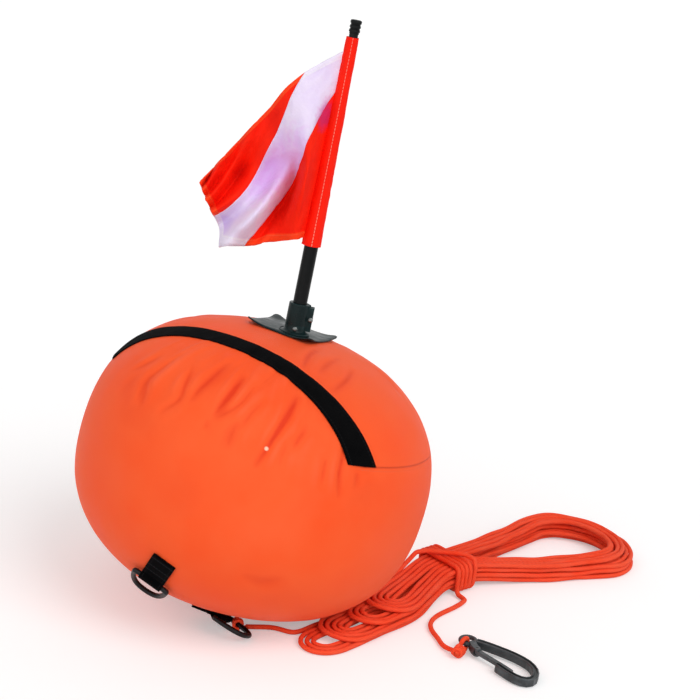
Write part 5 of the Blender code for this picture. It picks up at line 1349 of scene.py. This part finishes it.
def soften(piece, angle=radians(34)):
    """Smooth shading with crisp edges: edges sharper than an angle are marked."""
    piece.data.shade_smooth()
    with editing(piece) as mesh:
        for edge in mesh.edges:
            edge.smooth = not (len(edge.link_faces) == 2 and edge.calc_face_angle(0.0) > angle)


def seat_on_patch(points):
    """Lower the points of the foot's underside to the patch, which follows the crown."""
    low = points[..., 2] < 0
    x, y, z = points[..., 0], points[..., 1], np.zeros_like(points[..., 2])
    for _ in range(3):
        across = np.stack([x * cos(MAST_TILT) + z * sin(MAST_TILT), y], axis=-1)
        wanted = drop_to_skin(across) + 2 * GAP + PATCH_WALL - FLOAT_HALF_HEIGHT
        z = (wanted + x * sin(MAST_TILT)) / cos(MAST_TILT)
    shaped = points.copy()
    shaped[..., 2] = np.where(low, z + (points[..., 2] + 0.0045), points[..., 2])
    return shaped


def barrel_outline(height):
    """The C-shaped outline at one height, from the slit's far lip round to its near lip and the bore."""
    half, bore = SLIT_WIDTH / 2, TUBE_RADIUS + RUNNING_GAP
    rise = climb(height, LUG_FOOT, 0.0006) * np.clip((SOCKET_TOP - 0.0016 - height) / 0.0006, 0, 1)
    edge = min((SOCKET_TOP - height) / 0.0007, 1.0)
    barrel = SOCKET_RADIUS - 0.0006 * (1 - sqrt(max(1 - (1 - edge) ** 2, 0.0)))
    lug, tip = half + LUG_WALL * rise, barrel + (LUG_REACH - 0.0004) * rise
    root = sqrt(barrel ** 2 - lug ** 2) if rise > 0 else barrel
    soft = 0.0010 * rise
    start = atan2(lug, root) + 0.06
    angle = np.linspace(start, 2 * pi - start, 40)
    arc = np.stack([barrel * np.cos(angle), barrel * np.sin(angle)], axis=-1)
    lip = [(bore * 0.995, half), (barrel - 0.0015, half), (tip - soft * 0.3, half), (tip, half + soft * 0.35),
           (tip, lug - soft), (tip - soft * 0.3, lug - soft * 0.3), (tip - soft, lug), (root + 0.0009, lug)]
    far = [(x, -y) for x, y in lip[::-1]]
    inner = np.linspace(2 * pi - asin(half / bore), asin(half / bore), 25)[1:-1]
    hole = np.stack([bore * np.cos(inner), bore * np.sin(inner)], axis=-1)
    outline = np.vstack([lip, arc, far, hole])
    return np.column_stack([outline, np.full(len(outline), height)])


def make_socket():
    below = -0.0045
    seat = [(0.0, below), (FLANGE_RADIUS - 0.0003, below), (FLANGE_RADIUS, below + 0.0006),
            (FLANGE_RADIUS, FLANGE_HEIGHT - 0.0022), (FLANGE_RADIUS - 0.0006, FLANGE_HEIGHT - 0.0015),
            (SOCKET_RADIUS + 0.0020, FLANGE_HEIGHT - 0.0008), (SOCKET_RADIUS + 0.0007, FLANGE_HEIGHT),
            (SOCKET_RADIUS, FLANGE_HEIGHT + 0.0014), (SOCKET_RADIUS, SOCKET_FLOOR - 0.0001),
            (0.0, SOCKET_FLOOR)]
    turned_piece("mast_socket_foot", seat, rubber_finish, "float", shape=seat_on_patch)
    heights = [*(LUG_FOOT + up for up in (-0.0002, 0.0, 0.0003, 0.0006)), 0.010, 0.015, 0.020, 0.026,
               *(SOCKET_TOP - down for down in (0.0022, 0.0019, 0.0016, 0.0010, 0.0006, 0.0003, 0.0001, 0.0))]
    points = to_world(np.array([barrel_outline(h) for h in heights]), MAST_PLACE)
    barrel = grid_piece("mast_socket_barrel", points, rubber_finish, "float", caps=True)
    face_outwards(barrel)
    soften(barrel)
    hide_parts("mast_socket")


make_patch()
make_socket()

# %% [markdown]
# The mast is two tubes and a stepped plug between them, all turned shapes. A lathe shape needs only
# its outline from the axis outwards. Its ribs and chamfers are points of that outline, so they are
# real edges that catch the light.

# %% Mast
TUBE_WALL, TUBE_TOP, FOOT_FLANGE, FOOT_PLUG_LENGTH = 0.0012, 0.1340, 0.0020, 0.0150
ROD_RADIUS, ROD_TOP, FERRULE_LENGTH, FERRULE_PLUG_LENGTH = 0.0044, 0.3120, 0.0100, 0.0140
TIP_BOTTOM, TIP_TOP, TIP_RADIUS, TIP_RIBS = 0.3020, 0.3155, 0.0056, 3


def mast_part(name, node, profile, around=72):
    """A turned piece of the mast's black plastic, which moves with the mast."""
    turned_piece(name, profile, mast_finish, "mast", node, around)


def make_mast():
    foot, chamfer = SOCKET_FLOOR + GAP, 0.0004
    tube_foot, bore = foot + FOOT_FLANGE + GAP, TUBE_RADIUS - TUBE_WALL
    mast_part("mast_lower_tube", "mast_tube", [
        (bore, tube_foot), (bore, TUBE_TOP), (TUBE_RADIUS - chamfer, TUBE_TOP),
        (TUBE_RADIUS, TUBE_TOP - chamfer), (TUBE_RADIUS, 0.10), (TUBE_RADIUS, 0.06),
        (TUBE_RADIUS, tube_foot + chamfer), (TUBE_RADIUS - chamfer, tube_foot)])
    plug, plug_top = bore - GAP, tube_foot + FOOT_PLUG_LENGTH
    mast_part("mast_foot_plug", "mast_foot", [
        (0.0, foot), (TUBE_RADIUS - 0.0006, foot), (TUBE_RADIUS, foot + 0.0006),
        (TUBE_RADIUS, foot + FOOT_FLANGE), (plug, foot + FOOT_FLANGE), (plug, foot + 0.009),
        (plug, plug_top - 0.001), (plug - 0.0008, plug_top), (0.0, plug_top)])
    shoulder, hole, rod_foot = TUBE_TOP + GAP, ROD_RADIUS + GAP, TUBE_TOP - FERRULE_PLUG_LENGTH
    mast_part("mast_step_plug", "mast_ferrule", [
        (0.0, rod_foot - 0.002), (plug, rod_foot - 0.002), (plug, shoulder), (TUBE_RADIUS - 0.0006, shoulder),
        (TUBE_RADIUS - 0.0006, shoulder + 0.001), (TUBE_RADIUS - 0.0010, shoulder + 0.0018),
        (hole + 0.0012, shoulder + FERRULE_LENGTH - 0.0008), (hole + 0.0007, shoulder + FERRULE_LENGTH),
        (hole, shoulder + FERRULE_LENGTH), (hole, rod_foot), (0.0, rod_foot)])
    mast_part("mast_upper_rod", "mast_rod", [
        (0.0, rod_foot + GAP), (ROD_RADIUS, rod_foot + GAP), (ROD_RADIUS, 0.16), (ROD_RADIUS, 0.22),
        (ROD_RADIUS, ROD_TOP - 0.0005), (ROD_RADIUS - 0.0005, ROD_TOP), (0.0, ROD_TOP)], around=48)
    # The cap from its top down: how far in from its widest radius and how far down from its top
    cap = [(0.0, TIP_TOP)] + [(TIP_RADIUS - inward, TIP_TOP - down) for inward, down in
                              ((0.0022, 0.0), (0.0012, 0.0001), (0.0004, 0.0005), (0.0, 0.0012))]
    rib = (TIP_TOP - 0.0012 - TIP_BOTTOM) / TIP_RIBS
    groove = ((0.0, 0.45), (0.0002, 0.55), (0.0008, 0.62), (0.0008, 0.92), (0.0004, 1.0))
    cap += [(TIP_RADIUS - inward, TIP_TOP - 0.0012 - i * rib - share * rib)
            for i in range(TIP_RIBS) for inward, share in groove]
    cap[-1] = (TIP_RADIUS - 0.0008, TIP_BOTTOM)
    cap += [(hole, TIP_BOTTOM), (hole, ROD_TOP + GAP), (0.0, ROD_TOP + GAP)]
    mast_part("mast_tip_cap", "mast_tip", cap[::-1], around=48)


make_mast()

# %% [markdown]
# The flag hangs limp from its sleeve on a day without wind. It is sewn from three pieces of thin
# nylon: a red triangle by the mast, a white diagonal and a red triangle at the fly. Its hanging shape
# is a smooth surface through a few control points, the CAD model's own, with finer folds on top.

# %% Finish of the flag's cloth
FLAG_BOTTOM, FLAG_TOP, FLAG_WIDTH = 0.0986, 0.2850, 0.195
FLAG_HEIGHT = FLAG_TOP - FLAG_BOTTOM
STRIPE_START, STRIPE_END, LAP, HEM = 0.80, 1.20, 0.012, 0.0065
SLEEVE_BOTTOM, SLEEVE_TOP, SLEEVE_MOUTH = 0.0915, 0.2950, 0.2985
SLEEVE_BOTTOM_RADIUS, SLEEVE_TOP_RADIUS, SLEEVE_WALL = 0.00875, 0.0055, 0.0006


def make_flag_finish(name, tones, painted_light_spots):
    """Thin nylon with a fine weave. Folds that turn inwards get painted shade, and hems are sewn.

    The tones are plain, worn, painted shade in folds, the hem's and the thread's. Each spot of painted light
    or shade is a place in shares of the flag's width and height, its size in metres and its tone.
    """
    plain, worn, shaded, hem_shade, thread_shade = (colour(*tone) for tone in tones)
    material, tree, shader, place, metres = new_finish(name, Roughness=0.70, Specular_IOR_Level=0.12)
    uv = split(tree, metres)
    cloth = woven(tree, metres, 2600.0)
    dusty = mottled(tree, place, 45.0, 4.0)
    crumple = mottled(tree, place, 150.0, 3.0)
    shade = blend_colours(tree, times(tree, dusty, 0.5), plain, worn)
    fold = add_node(tree, "Attribute", output="Fac", settings={"attribute_name": "fold"})
    # Painted shade where the folds turn inwards
    shade = tint(tree, shade, step_between(tree, fold, 0.0, 1.0), 0.85, shaded)
    right = math_node(tree, "SUBTRACT", FLAG_WIDTH, uv[0])
    top = math_node(tree, "SUBTRACT", FLAG_HEIGHT, uv[1])
    edge = math_node(tree, "MINIMUM", right, math_node(tree, "MINIMUM", top, uv[1]))
    hemmed = step_between(tree, edge, HEM + 0.0006, HEM)
    shade = tint(tree, shade, hemmed, 0.7, hem_shade)
    shares = [math_node(tree, "DIVIDE", uv[i], size) for i, size in enumerate((FLAG_WIDTH, FLAG_HEIGHT))]
    total = math_node(tree, "ADD", *shares)
    reach = FLAG_WIDTH * FLAG_HEIGHT / sqrt(FLAG_WIDTH ** 2 + FLAG_HEIGHT ** 2)
    slant = times(tree, total, reach)
    along = math_node(tree, "SUBTRACT", uv[0], uv[1])
    rows = [sewn_row(tree, math_node(tree, "ADD", uv[0], uv[1]), edge, HEM - 0.0012, 0.0030, 0.00035)]
    rows += [sewn_row(tree, along, slant, line * reach + side, 0.0042, 0.00030)
             for line in (STRIPE_START, STRIPE_END) for side in (-0.0016, 0.0016)]
    sewn = highest(tree, *rows)
    shade = tint(tree, shade, sewn, 0.65, thread_shade)
    # Spots of painted light and shade, with ragged edges
    for spot, size, tone in painted_light_spots:
        away = distance(tree, metres, (spot[0] * FLAG_WIDTH, spot[1] * FLAG_HEIGHT, 0.0))
        ragged = math_node(tree, "ADD", away,
                           times(tree, math_node(tree, "SUBTRACT", crumple, 0.5), size * 0.3))
        shade = tint(tree, shade, step_between(tree, ragged, size, size * 0.35), 0.85, colour(*tone))
    tree.links.new(shade, shader["Base Color"])
    add_bump(tree, shader, (cloth, 0.00006, 0.4), (crumple, 0.0009, 0.35), (sewn, -0.0003, 0.6))
    return material


flag_finishes = {
    "red": make_flag_finish(
        "flag_cloth_red", ((255, 30, 6), (255, 42, 12), (216, 14, 6), (255, 76, 30), (255, 96, 60)),
        # Painted shade next to the sleeve, tinted magenta by red light reflected from it
        [((0.06, 0.66), 0.019, (206, 44, 104))]),
    "white": make_flag_finish(
        "flag_cloth_white",
        ((236, 222, 246), (226, 208, 243), (206, 178, 236), (240, 232, 248), (250, 246, 252)),
        # Painted shade in the stripe's middle and next to the sleeve, and a painted lit patch, whiter, at the
        # stripe's top
        [((0.50, 0.46), 0.062, (228, 176, 238)), ((0.06, 0.66), 0.024, (214, 120, 190)),
         ((0.62, 0.95), 0.060, (244, 240, 250))])}

# %% Flag
FLAG_CONTROLS = np.array([
    [(0.00, 0.000, 0.00), (0.057, 0.014, -0.07), (0.162, 0.066, 0.03), (0.272, 0.087, -0.06),
     (0.413, 0.137, 0.00)],
    [(0.00, 0.000, 0.00), (0.06, 0.006, -0.15), (0.12, 0.040, 0.04), (0.28, 0.205, -0.06), (0.45, 0.350, 0.05)],
    [(0.00, 0.000, 0.00), (0.12, 0.060, -0.13), (0.25, 0.225, -0.02), (0.38, 0.390, 0.08),
     (0.515, 0.575, 0.00)],
    [(0.00, 0.000, 0.00), (0.20, 0.170, -0.05), (0.345, 0.408, 0.00), (0.475, 0.618, 0.03),
     (0.582, 0.790, 0.00)],
])


def control_weights(share, count):
    """Weights of evenly spaced control points at each share of the way, as a Catmull-Rom curve has them."""
    place = np.clip(share, 0, 1) * (count - 1)
    first = np.minimum(place.astype(int), count - 2)
    t = place - first
    basis = [(-t + 2 * t * t - t ** 3) / 2, (2 - 5 * t * t + 3 * t ** 3) / 2,
             (t + 4 * t * t - 3 * t ** 3) / 2, (t ** 3 - t * t) / 2]
    weights = np.zeros((len(share), count + 2))
    for k, value in enumerate(basis):
        weights[np.arange(len(share)), first + k] += value
    weights[:, 1] += 2 * weights[:, 0]
    weights[:, 2] -= weights[:, 0]
    weights[:, count] += 2 * weights[:, count + 1]
    weights[:, count - 1] -= weights[:, count + 1]
    return weights[:, 1:count + 1]


pleat_way = unit(look @ np.array(MAST_PLACE)[:3, :3])


def sleeve_radius(height):
    """The sleeve narrows evenly from its foot to its top."""
    share = (height - SLEEVE_BOTTOM) / (SLEEVE_TOP - SLEEVE_BOTTOM)
    return SLEEVE_BOTTOM_RADIUS + (SLEEVE_TOP_RADIUS - SLEEVE_BOTTOM_RADIUS) * share


def smooth_flag(across, up):
    """The flag without its finer folds, in the mast's frame: out from the sleeve, back and along the mast."""
    shape = np.broadcast(across, up).shape
    across, up = (np.broadcast_to(v, shape).ravel() for v in (across, up))
    inside = np.clip(up, 0, 1) ** (1 - 0.50 * np.clip(across, 0, 1) ** 4)
    up = inside + np.minimum(up, 0) + np.maximum(up - 1, 0)
    weights = control_weights(up, 4), control_weights(across, 5)
    offset = np.einsum("ni,nj,ijk->nk", *weights, FLAG_CONTROLS) * FLAG_WIDTH
    height = FLAG_BOTTOM + FLAG_HEIGHT * up
    out = sleeve_radius(height) - 0.0004 + offset[:, 0]
    return np.stack([-out, offset[:, 2], height - offset[:, 1]], axis=-1).reshape(*shape, 3)


def flag_folds(across, up):
    """Finer folds, in metres: small ones off the control surface, and deep pleats from front to back."""
    free = np.clip(across / 0.22, 0, 1) ** 1.5
    total = across + up
    hanging = climb(np.hypot(across, 1 - up), 0.35, 0.75) ** 1.2
    deep = 0.0125 * hanging * np.sin(2 * pi * (total - 1.02) / (0.45 - 0.10 * total)) * climb(total, 0.22, 0.5)
    deep = deep * (1 - 0.42 * climb(total, 1.45, 0.45))
    waves = 0.0009 * np.sin(2 * pi * (2.3 * across - 1.1 * up) + 0.9)
    waves = waves + 0.0006 * np.sin(2 * pi * (4.1 * across + 1.7 * up))
    spots = np.stack([across * 4.2, up * 4.2, 0 * across * up], axis=-1)
    puckers = 0.0009 * cloud(spots + 7.0, 0.42, 51) + 0.0005 * cloud(spots + 3.0, 0.17, 52)
    edge = np.minimum(np.minimum(1 - across, up), 1 - up)
    hem_wave = 0.0005 * np.exp(-(edge / 0.06) ** 2) * np.sin(2 * pi * (5.0 * across + 6.0 * up))
    return free * (waves + hem_wave) + puckers * np.clip(across / 0.05, 0, 1), free * deep


def flag_surface(across, up):
    """Points and normals of the folded cloth."""
    step = 0.004

    def folded(a, u):
        flat = smooth_flag(a, u)
        ways = [smooth_flag(a + step, u) - smooth_flag(a - step, u),
                smooth_flag(a, u + step) - smooth_flag(a, u - step)]
        small, deep = flag_folds(a, u)
        return flat + small[..., None] * unit(np.cross(*ways)) + deep[..., None] * pleat_way

    points = folded(across, up)
    normal = np.cross(folded(across + step, up) - folded(across - step, up),
                      folded(across, up + step) - folded(across, up - step))
    return points, unit(normal)


def flag_panel(part, start, end, rows, red_or_white, wall):
    """A panel between two diagonals, across + up = start and end, as a thin closed shell."""
    columns = 90
    total = np.linspace(start, end, rows + 1)[:, None]
    first, last = np.maximum(0.0, total - 1), np.minimum(1.0, total)
    across = first + (last - first) * np.linspace(0, 1, columns + 1)[None, :]
    up = total - across
    points, normal = flag_surface(across, up)
    edge = np.minimum(np.minimum((1 - across) * FLAG_WIDTH, up * FLAG_HEIGHT), (1 - up) * FLAG_HEIGHT)
    half = (wall / 2 + 0.00035 * np.clip((HEM - edge) / 0.0006, 0, 1) * (across > 0.02))[..., None]
    both = np.stack([points + normal * half, points - normal * half])
    world = to_world(both, MAST_PLACE).reshape(-1, 3)
    grid = grid_faces(rows + 1, columns + 1)
    count, width = (rows + 1) * (columns + 1), columns + 1
    rim = (list(range(width)) + [width * (r + 1) + columns for r in range(rows)]
           + [rows * width + c for c in range(columns - 1, -1, -1)]
           + [width * r for r in range(rows - 1, 0, -1)])
    after = rim[1:] + rim[:1]
    faces = np.vstack([grid, grid[:, ::-1] + count, [(j, i, count + i, count + j) for i, j in zip(rim, after)]])
    spots = np.stack([across * FLAG_WIDTH, up * FLAG_HEIGHT], axis=-1).reshape(-1, 2)
    uv = np.vstack([spots, spots])[faces.ravel()]
    piece = make_piece(f"flag_{part}_cloth", world, faces.tolist(), flag_finishes[red_or_white], "flag",
                       uv)
    small, deep = flag_folds(across, up)
    # How hollow each fold lies, which the finish darkens as painted shade
    hollow = small / 0.0035 + deep / 0.0300
    set_fold(piece.data, np.tile(np.clip(hollow, 0, 1).ravel(), 2))
    merge_points(piece)
    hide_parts(f"flag_{part}")
    return piece


def make_sleeve():
    """The sewn sleeve: a thin cloth tube with a puckered wall, and a ridge where the flag joins."""
    heights = np.linspace(SLEEVE_BOTTOM, SLEEVE_MOUTH, 92)
    profile = [(float(sleeve_radius(h)), float(h)) for h in heights]
    inner = [(float(sleeve_radius(h) - SLEEVE_WALL), float(h)) for h in heights[::-1]]

    def pucker(points):
        angle, radius = np.arctan2(points[..., 1], points[..., 0]), np.hypot(points[..., 0], points[..., 1])
        around = np.stack([np.cos(angle) * 0.007, np.sin(angle) * 0.007, points[..., 2]], axis=-1)
        bulge = 0.00045 * np.abs(cloud(around + 0.3, 0.0075, 61))
        bulge = bulge + 0.00022 * np.abs(cloud(around + 0.6, 0.0033, 62))
        ridge = 0.0010 * np.exp(-((np.abs(angle) - pi) / 0.22) ** 2)
        seam = -0.0003 * np.exp(-((angle + pi / 2) / 0.10) ** 2)
        scale = 1 + (bulge + ridge + seam) / np.maximum(radius, 1e-6)
        return np.stack([points[..., 0] * scale, points[..., 1] * scale, points[..., 2]], axis=-1)

    turned_piece("flag_sleeve_cloth", profile + inner, sleeve_finish, "flag", "flag_sleeve",
                 shape=pucker)


def make_sleeve_finish():
    """The flag's red nylon, with one row of stitches up the sleeve's front."""
    material, tree, shader, place, metres = new_finish("flag_sleeve_red", Roughness=0.66,
                                                       Specular_IOR_Level=0.12)
    uv = split(tree, metres)
    line = 0.75 * 2 * pi * SLEEVE_BOTTOM_RADIUS
    cloth = woven(tree, metres, 2600.0)
    dusty = mottled(tree, place, 60.0, 4.0)
    shade = blend_colours(tree, times(tree, dusty, 0.5), colour(255, 32, 6), colour(250, 24, 6))
    row = sewn_row(tree, uv[0], uv[1], line, 0.0034, 0.00045)
    groove = sewn_row(tree, uv[0], uv[1], line, 0.0034, 0.00045, "Groove")
    # Painted shade: darker red in the dent that the stitches pull into the cloth
    shade = tint(tree, shade, groove, 0.35, colour(214, 24, 14))
    shade = tint(tree, shade, row, 0.8, colour(255, 150, 130))
    tree.links.new(shade, shader["Base Color"])
    add_bump(tree, shader, (cloth, 0.00006, 0.4), (groove, -0.0004, 0.6))
    return material


sleeve_finish = make_sleeve_finish()
make_sleeve()
flag_hoist_cloth = flag_panel("hoist", 0.02, STRIPE_START + LAP, 84, "red", 0.0005)
flag_stripe_cloth = flag_panel("stripe", STRIPE_START - LAP, STRIPE_END + LAP, 46, "white", 0.0009)
flag_fly_cloth = flag_panel("fly", STRIPE_END - LAP, 1.98, 84, "red", 0.0005)
print("flag, flat:", round(FLAG_WIDTH * 1000), "by", round(FLAG_HEIGHT * 1000, 1), "mm")

# %% [markdown]
# Two tabs of 25 mm webbing are sewn to the cover. Each is one strap that lies on the skin, goes round
# the straight bar of a D-ring and comes back on top of itself. So it is a flat band carried along that
# path, in the plane across the bar, and mapped onto the curved skin.

# %% Webbing tabs
WEBBING_WIDTH, WEBBING_WALL, TAB_FOLD = 0.025, 0.0013, 0.013
RING_WIDTH, RING_HEIGHT, RING_WIRE = 0.042, 0.037, 0.0052


def tab_frame(foot, along):
    """Place of a tab: its foot on the skin, its way along the skin, across it and off it."""
    base = on_skin(foot)
    normal = skin_normal(base)
    across = unit(np.cross(normal, along))
    return base, np.cross(across, normal), across, normal


def on_tab(frame_of_tab, s, t, a):
    """Points at a distance s along the tab, t off the skin and a across it."""
    base, way, across, normal = frame_of_tab
    spots = on_skin(base + np.maximum(s, 0)[..., None] * way)
    spots = spots - ((spots - base) @ across)[..., None] * across
    lift = skin_normal(spots)
    lift = unit(lift - (lift @ across)[..., None] * across)
    behind = (s <= 0)[..., None]
    spots, lift = np.where(behind, base + s[..., None] * way, spots), np.where(behind, normal, lift)
    return spots + t[..., None] * lift + a[..., None] * across


def make_tab(name, node, place, length):
    """The strap's middle line in (s, t), then the flat band's outline square to it."""
    bar = GAP + WEBBING_WALL + RUNNING_GAP + RING_WIRE / 2
    radius = RING_WIRE / 2 + RUNNING_GAP + WEBBING_WALL / 2
    low, high = GAP + WEBBING_WALL / 2, GAP + 1.5 * WEBBING_WALL + 0.0001
    arc = np.radians(np.linspace(270, 78, 26))
    middle = ([(s, low) for s in np.linspace(length, 0.0012, 22)]
              + [(radius * cos(a), bar + radius * sin(a)) for a in arc]
              + [(0.0042, bar + radius * 0.62), (0.0075, (bar + high) / 2 - 0.0002), (0.0105, high + 0.0006)]
              + [(s, high) for s in np.linspace(TAB_FOLD + 0.0005, length - 0.0002, 22)])
    middle = smooth_path(middle, 0.0009)
    ways = unit(np.gradient(middle, axis=0))
    square = np.stack([-ways[:, 1], ways[:, 0]], axis=1)
    profile = band_profile(14)
    off = (profile[None, :, 1] - 0.5) * WEBBING_WALL
    st = middle[:, None] + square[:, None] * off[..., None]
    side = np.broadcast_to((profile[None, :, 0] - 0.5) * WEBBING_WIDTH, (len(middle), len(profile)))
    points = to_world(on_tab(place, st[..., 0], st[..., 1], side))
    piece = grid_piece(name, points, tab_finish, "float", caps=True,
                       lengths=length_grid(middle[:, 0], profile[:, 0] * WEBBING_WIDTH))
    face_outwards(piece)
    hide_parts(node)


def make_tab_finish():
    """The strap's webbing with rows sewn across it, near the ring and at its end."""
    material = strap_finish.copy()
    material.name = "tab_weave"
    tree = material.node_tree
    shader = tree.nodes["Principled BSDF"].inputs
    uv = split(tree, tree.nodes["Texture Coordinate"].outputs["UV"])
    rows = [sewn_row(tree, uv[1], uv[0], line, 0.0032, 0.0004) for line in (0.0165, 0.0265, 0.0390)]
    sewn = highest(tree, *rows)
    before = shader["Base Color"].links[0].from_socket
    tree.links.new(tint(tree, before, sewn, 0.7, colour(58, 58, 62)), shader["Base Color"])
    return material


tab_finish = make_tab_finish()
front_place = tab_frame(FRONT_FOOT, FRONT_HEAD - FRONT_FOOT)
lower_foot = (np.array([-0.0132, -0.0940, 0.0150]) - [0, 0, REST_HEIGHT]) @ float_axes
lower_place = tab_frame(lower_foot, np.array([-0.77, 0.52, 0.30]) @ float_axes)
make_tab("front_tab_strap", "front_tab", front_place, 0.043)
make_tab("lower_tab_strap", "lower_tab", lower_place, 0.030)

# %% D-rings
def d_ring_path():
    """Middle line of a D-ring: a bar along X and a bow, |x|^2.5 + |y|^2.5 = 1, that reaches along Y."""
    half, height, corner = (RING_WIDTH - RING_WIRE) / 2, RING_HEIGHT - RING_WIRE, RING_WIRE
    squareness, steps = 2.5, 56
    path = [(-half * (1 - 2 * i / 16), 0.0) for i in range(2, 15)]
    turn = [(half - corner * 0.3, corner * 0.02), (half - corner * 0.06, corner * 0.13), (half, corner * 0.35)]
    path += turn
    for i in range(1, steps):
        angle = pi * i / steps
        x = half * (1 if cos(angle) > 0 else -1) * abs(cos(angle)) ** (2 / squareness)
        y = height * sin(angle) ** (2 / squareness)
        if y > corner * 0.5:
            path.append((x, y))
    path += [(-x, y) for x, y in turn[::-1]]
    return np.array([(x, y, 0.0) for x, y in path])


def make_ring(name, node, place, swing):
    """The ring on its tab's bar, swung by an angle."""
    base, way, across, normal = place
    bar = base + normal * (GAP + WEBBING_WALL + RUNNING_GAP + RING_WIRE / 2)
    axes = Matrix([list(across), list(-way), list(np.cross(across, -way))]).transposed().to_4x4()
    frame_of_ring = FLOAT_PLACE @ Matrix.Translation(bar) @ axes @ Matrix.Rotation(swing, 4, "X")
    path = to_world(d_ring_path(), frame_of_ring)
    piece = grid_piece(name, tube(path, RING_WIRE / 2, 16, closed=True), ring_finish, node,
                       close_rows=True)
    face_outwards(piece)
    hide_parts(node)
    low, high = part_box(node)
    mine = np.array([v.co for v in piece.data.vertices])
    print(name, "off its solid by", np.round((mine.min(axis=0) - np.array(low)) * 1000, 1),
          np.round((mine.max(axis=0) - np.array(high)) * 1000, 1), "mm")


make_ring("front_ring_bow", "front_ring", front_place, 0.0)
make_ring("lower_ring_bow", "lower_ring", lower_place, radians(17.83))

# %% [markdown]
# The small hard parts are right as the CAD model has them, so they keep their solids and only get
# their finishes: the snap hook, the clamp screw with its nut, the rivet, and the parts inside.

# %% Finishes of the parts that stay
flap_finish = make_moulded_finish("flap_nylon", (255, 84, 40), (244, 76, 36), 0.60, 1500.0, 0.00008)
for finish, nodes in ((hook_finish, ("hook_body", "hook_gate")), (valve_finish, ("valve_body", "valve_plug")),
                      (steel_finish, ("hook_pin", "gate_spring", "clamp_screw", "clamp_nut", "socket_rivet")),
                      (film_finish, ["bladder"]), (rubber_finish, ["patch_backing"]),
                      (flap_finish, ["closure_flap"])):
    for node in nodes:
        dress(node, finish)

# %% [markdown]
# The studio is plain: a pale floor, an even sky and soft lamps. The floor glows a little for the camera
# alone, which makes the background white and leaves the light on the buoy as it is, and it keeps the
# buoy's soft shadow.

# %% Floor and light
FLOOR_LEVEL = -0.0004


def in_sight(tree):
    """1 for what the camera sees, straight, mirrored or through something clear, and 0 for light."""
    rays = add_node(tree, "LightPath").node.outputs
    return highest(tree, *(rays[f"Is {kind} Ray"] for kind in ("Camera", "Glossy", "Transmission")))


def make_floor():
    mesh = bpy.data.meshes.new("studio_floor")
    corners = [(x, y, FLOOR_LEVEL) for x, y in ((-9, -4), (9, -4), (9, 14), (-9, 14))]
    mesh.from_pydata(corners, [], [(0, 1, 2, 3)])
    material, tree, shader, *_ = new_finish("studio_paper", Base_Color=(0.80, 0.80, 0.80, 1.0), Roughness=0.9,
                                            Emission_Color=(1.0, 1.0, 1.0, 1.0))
    tree.links.new(times(tree, in_sight(tree), 0.32), shader["Emission Strength"])
    mesh.materials.append(material)
    add_object("studio_floor", mesh)


def add_sun(name, strength, toward, angle):
    """A soft sun: its strength is what it puts on a surface that faces it."""
    lamp = bpy.data.lights.new(name, "SUN")
    lamp.energy, lamp.angle = strength, angle
    add_object(name, lamp).rotation_euler = Vector(toward).to_track_quat("Z", "Y").to_euler()


def make_sky():
    world = bpy.data.worlds.new("studio_sky")
    world.use_nodes = True
    scene.world = world
    tree = world.node_tree
    tree.nodes.clear()
    plain = add_node(tree, "Background", Color=(1.0, 1.0, 1.0, 1.0), Strength=0.50)
    white = add_node(tree, "Background", Color=(1.0, 1.0, 1.0, 1.0), Strength=1.0)
    both = add_node(tree, "MixShader", s0=in_sight(tree), s1=plain, s2=white)
    end = tree.nodes.new("ShaderNodeOutputWorld")
    tree.links.new(both, end.inputs["Surface"])


make_floor()
make_sky()
add_sun("key_lamp", 1.15, (0.55, -0.55, 0.90), radians(40))
add_sun("fill_lamp", 0.80, (-0.75, -1.0, 0.40), radians(70))
add_sun("low_lamp", 0.35, (0.35, -1.0, -0.02), radians(60))
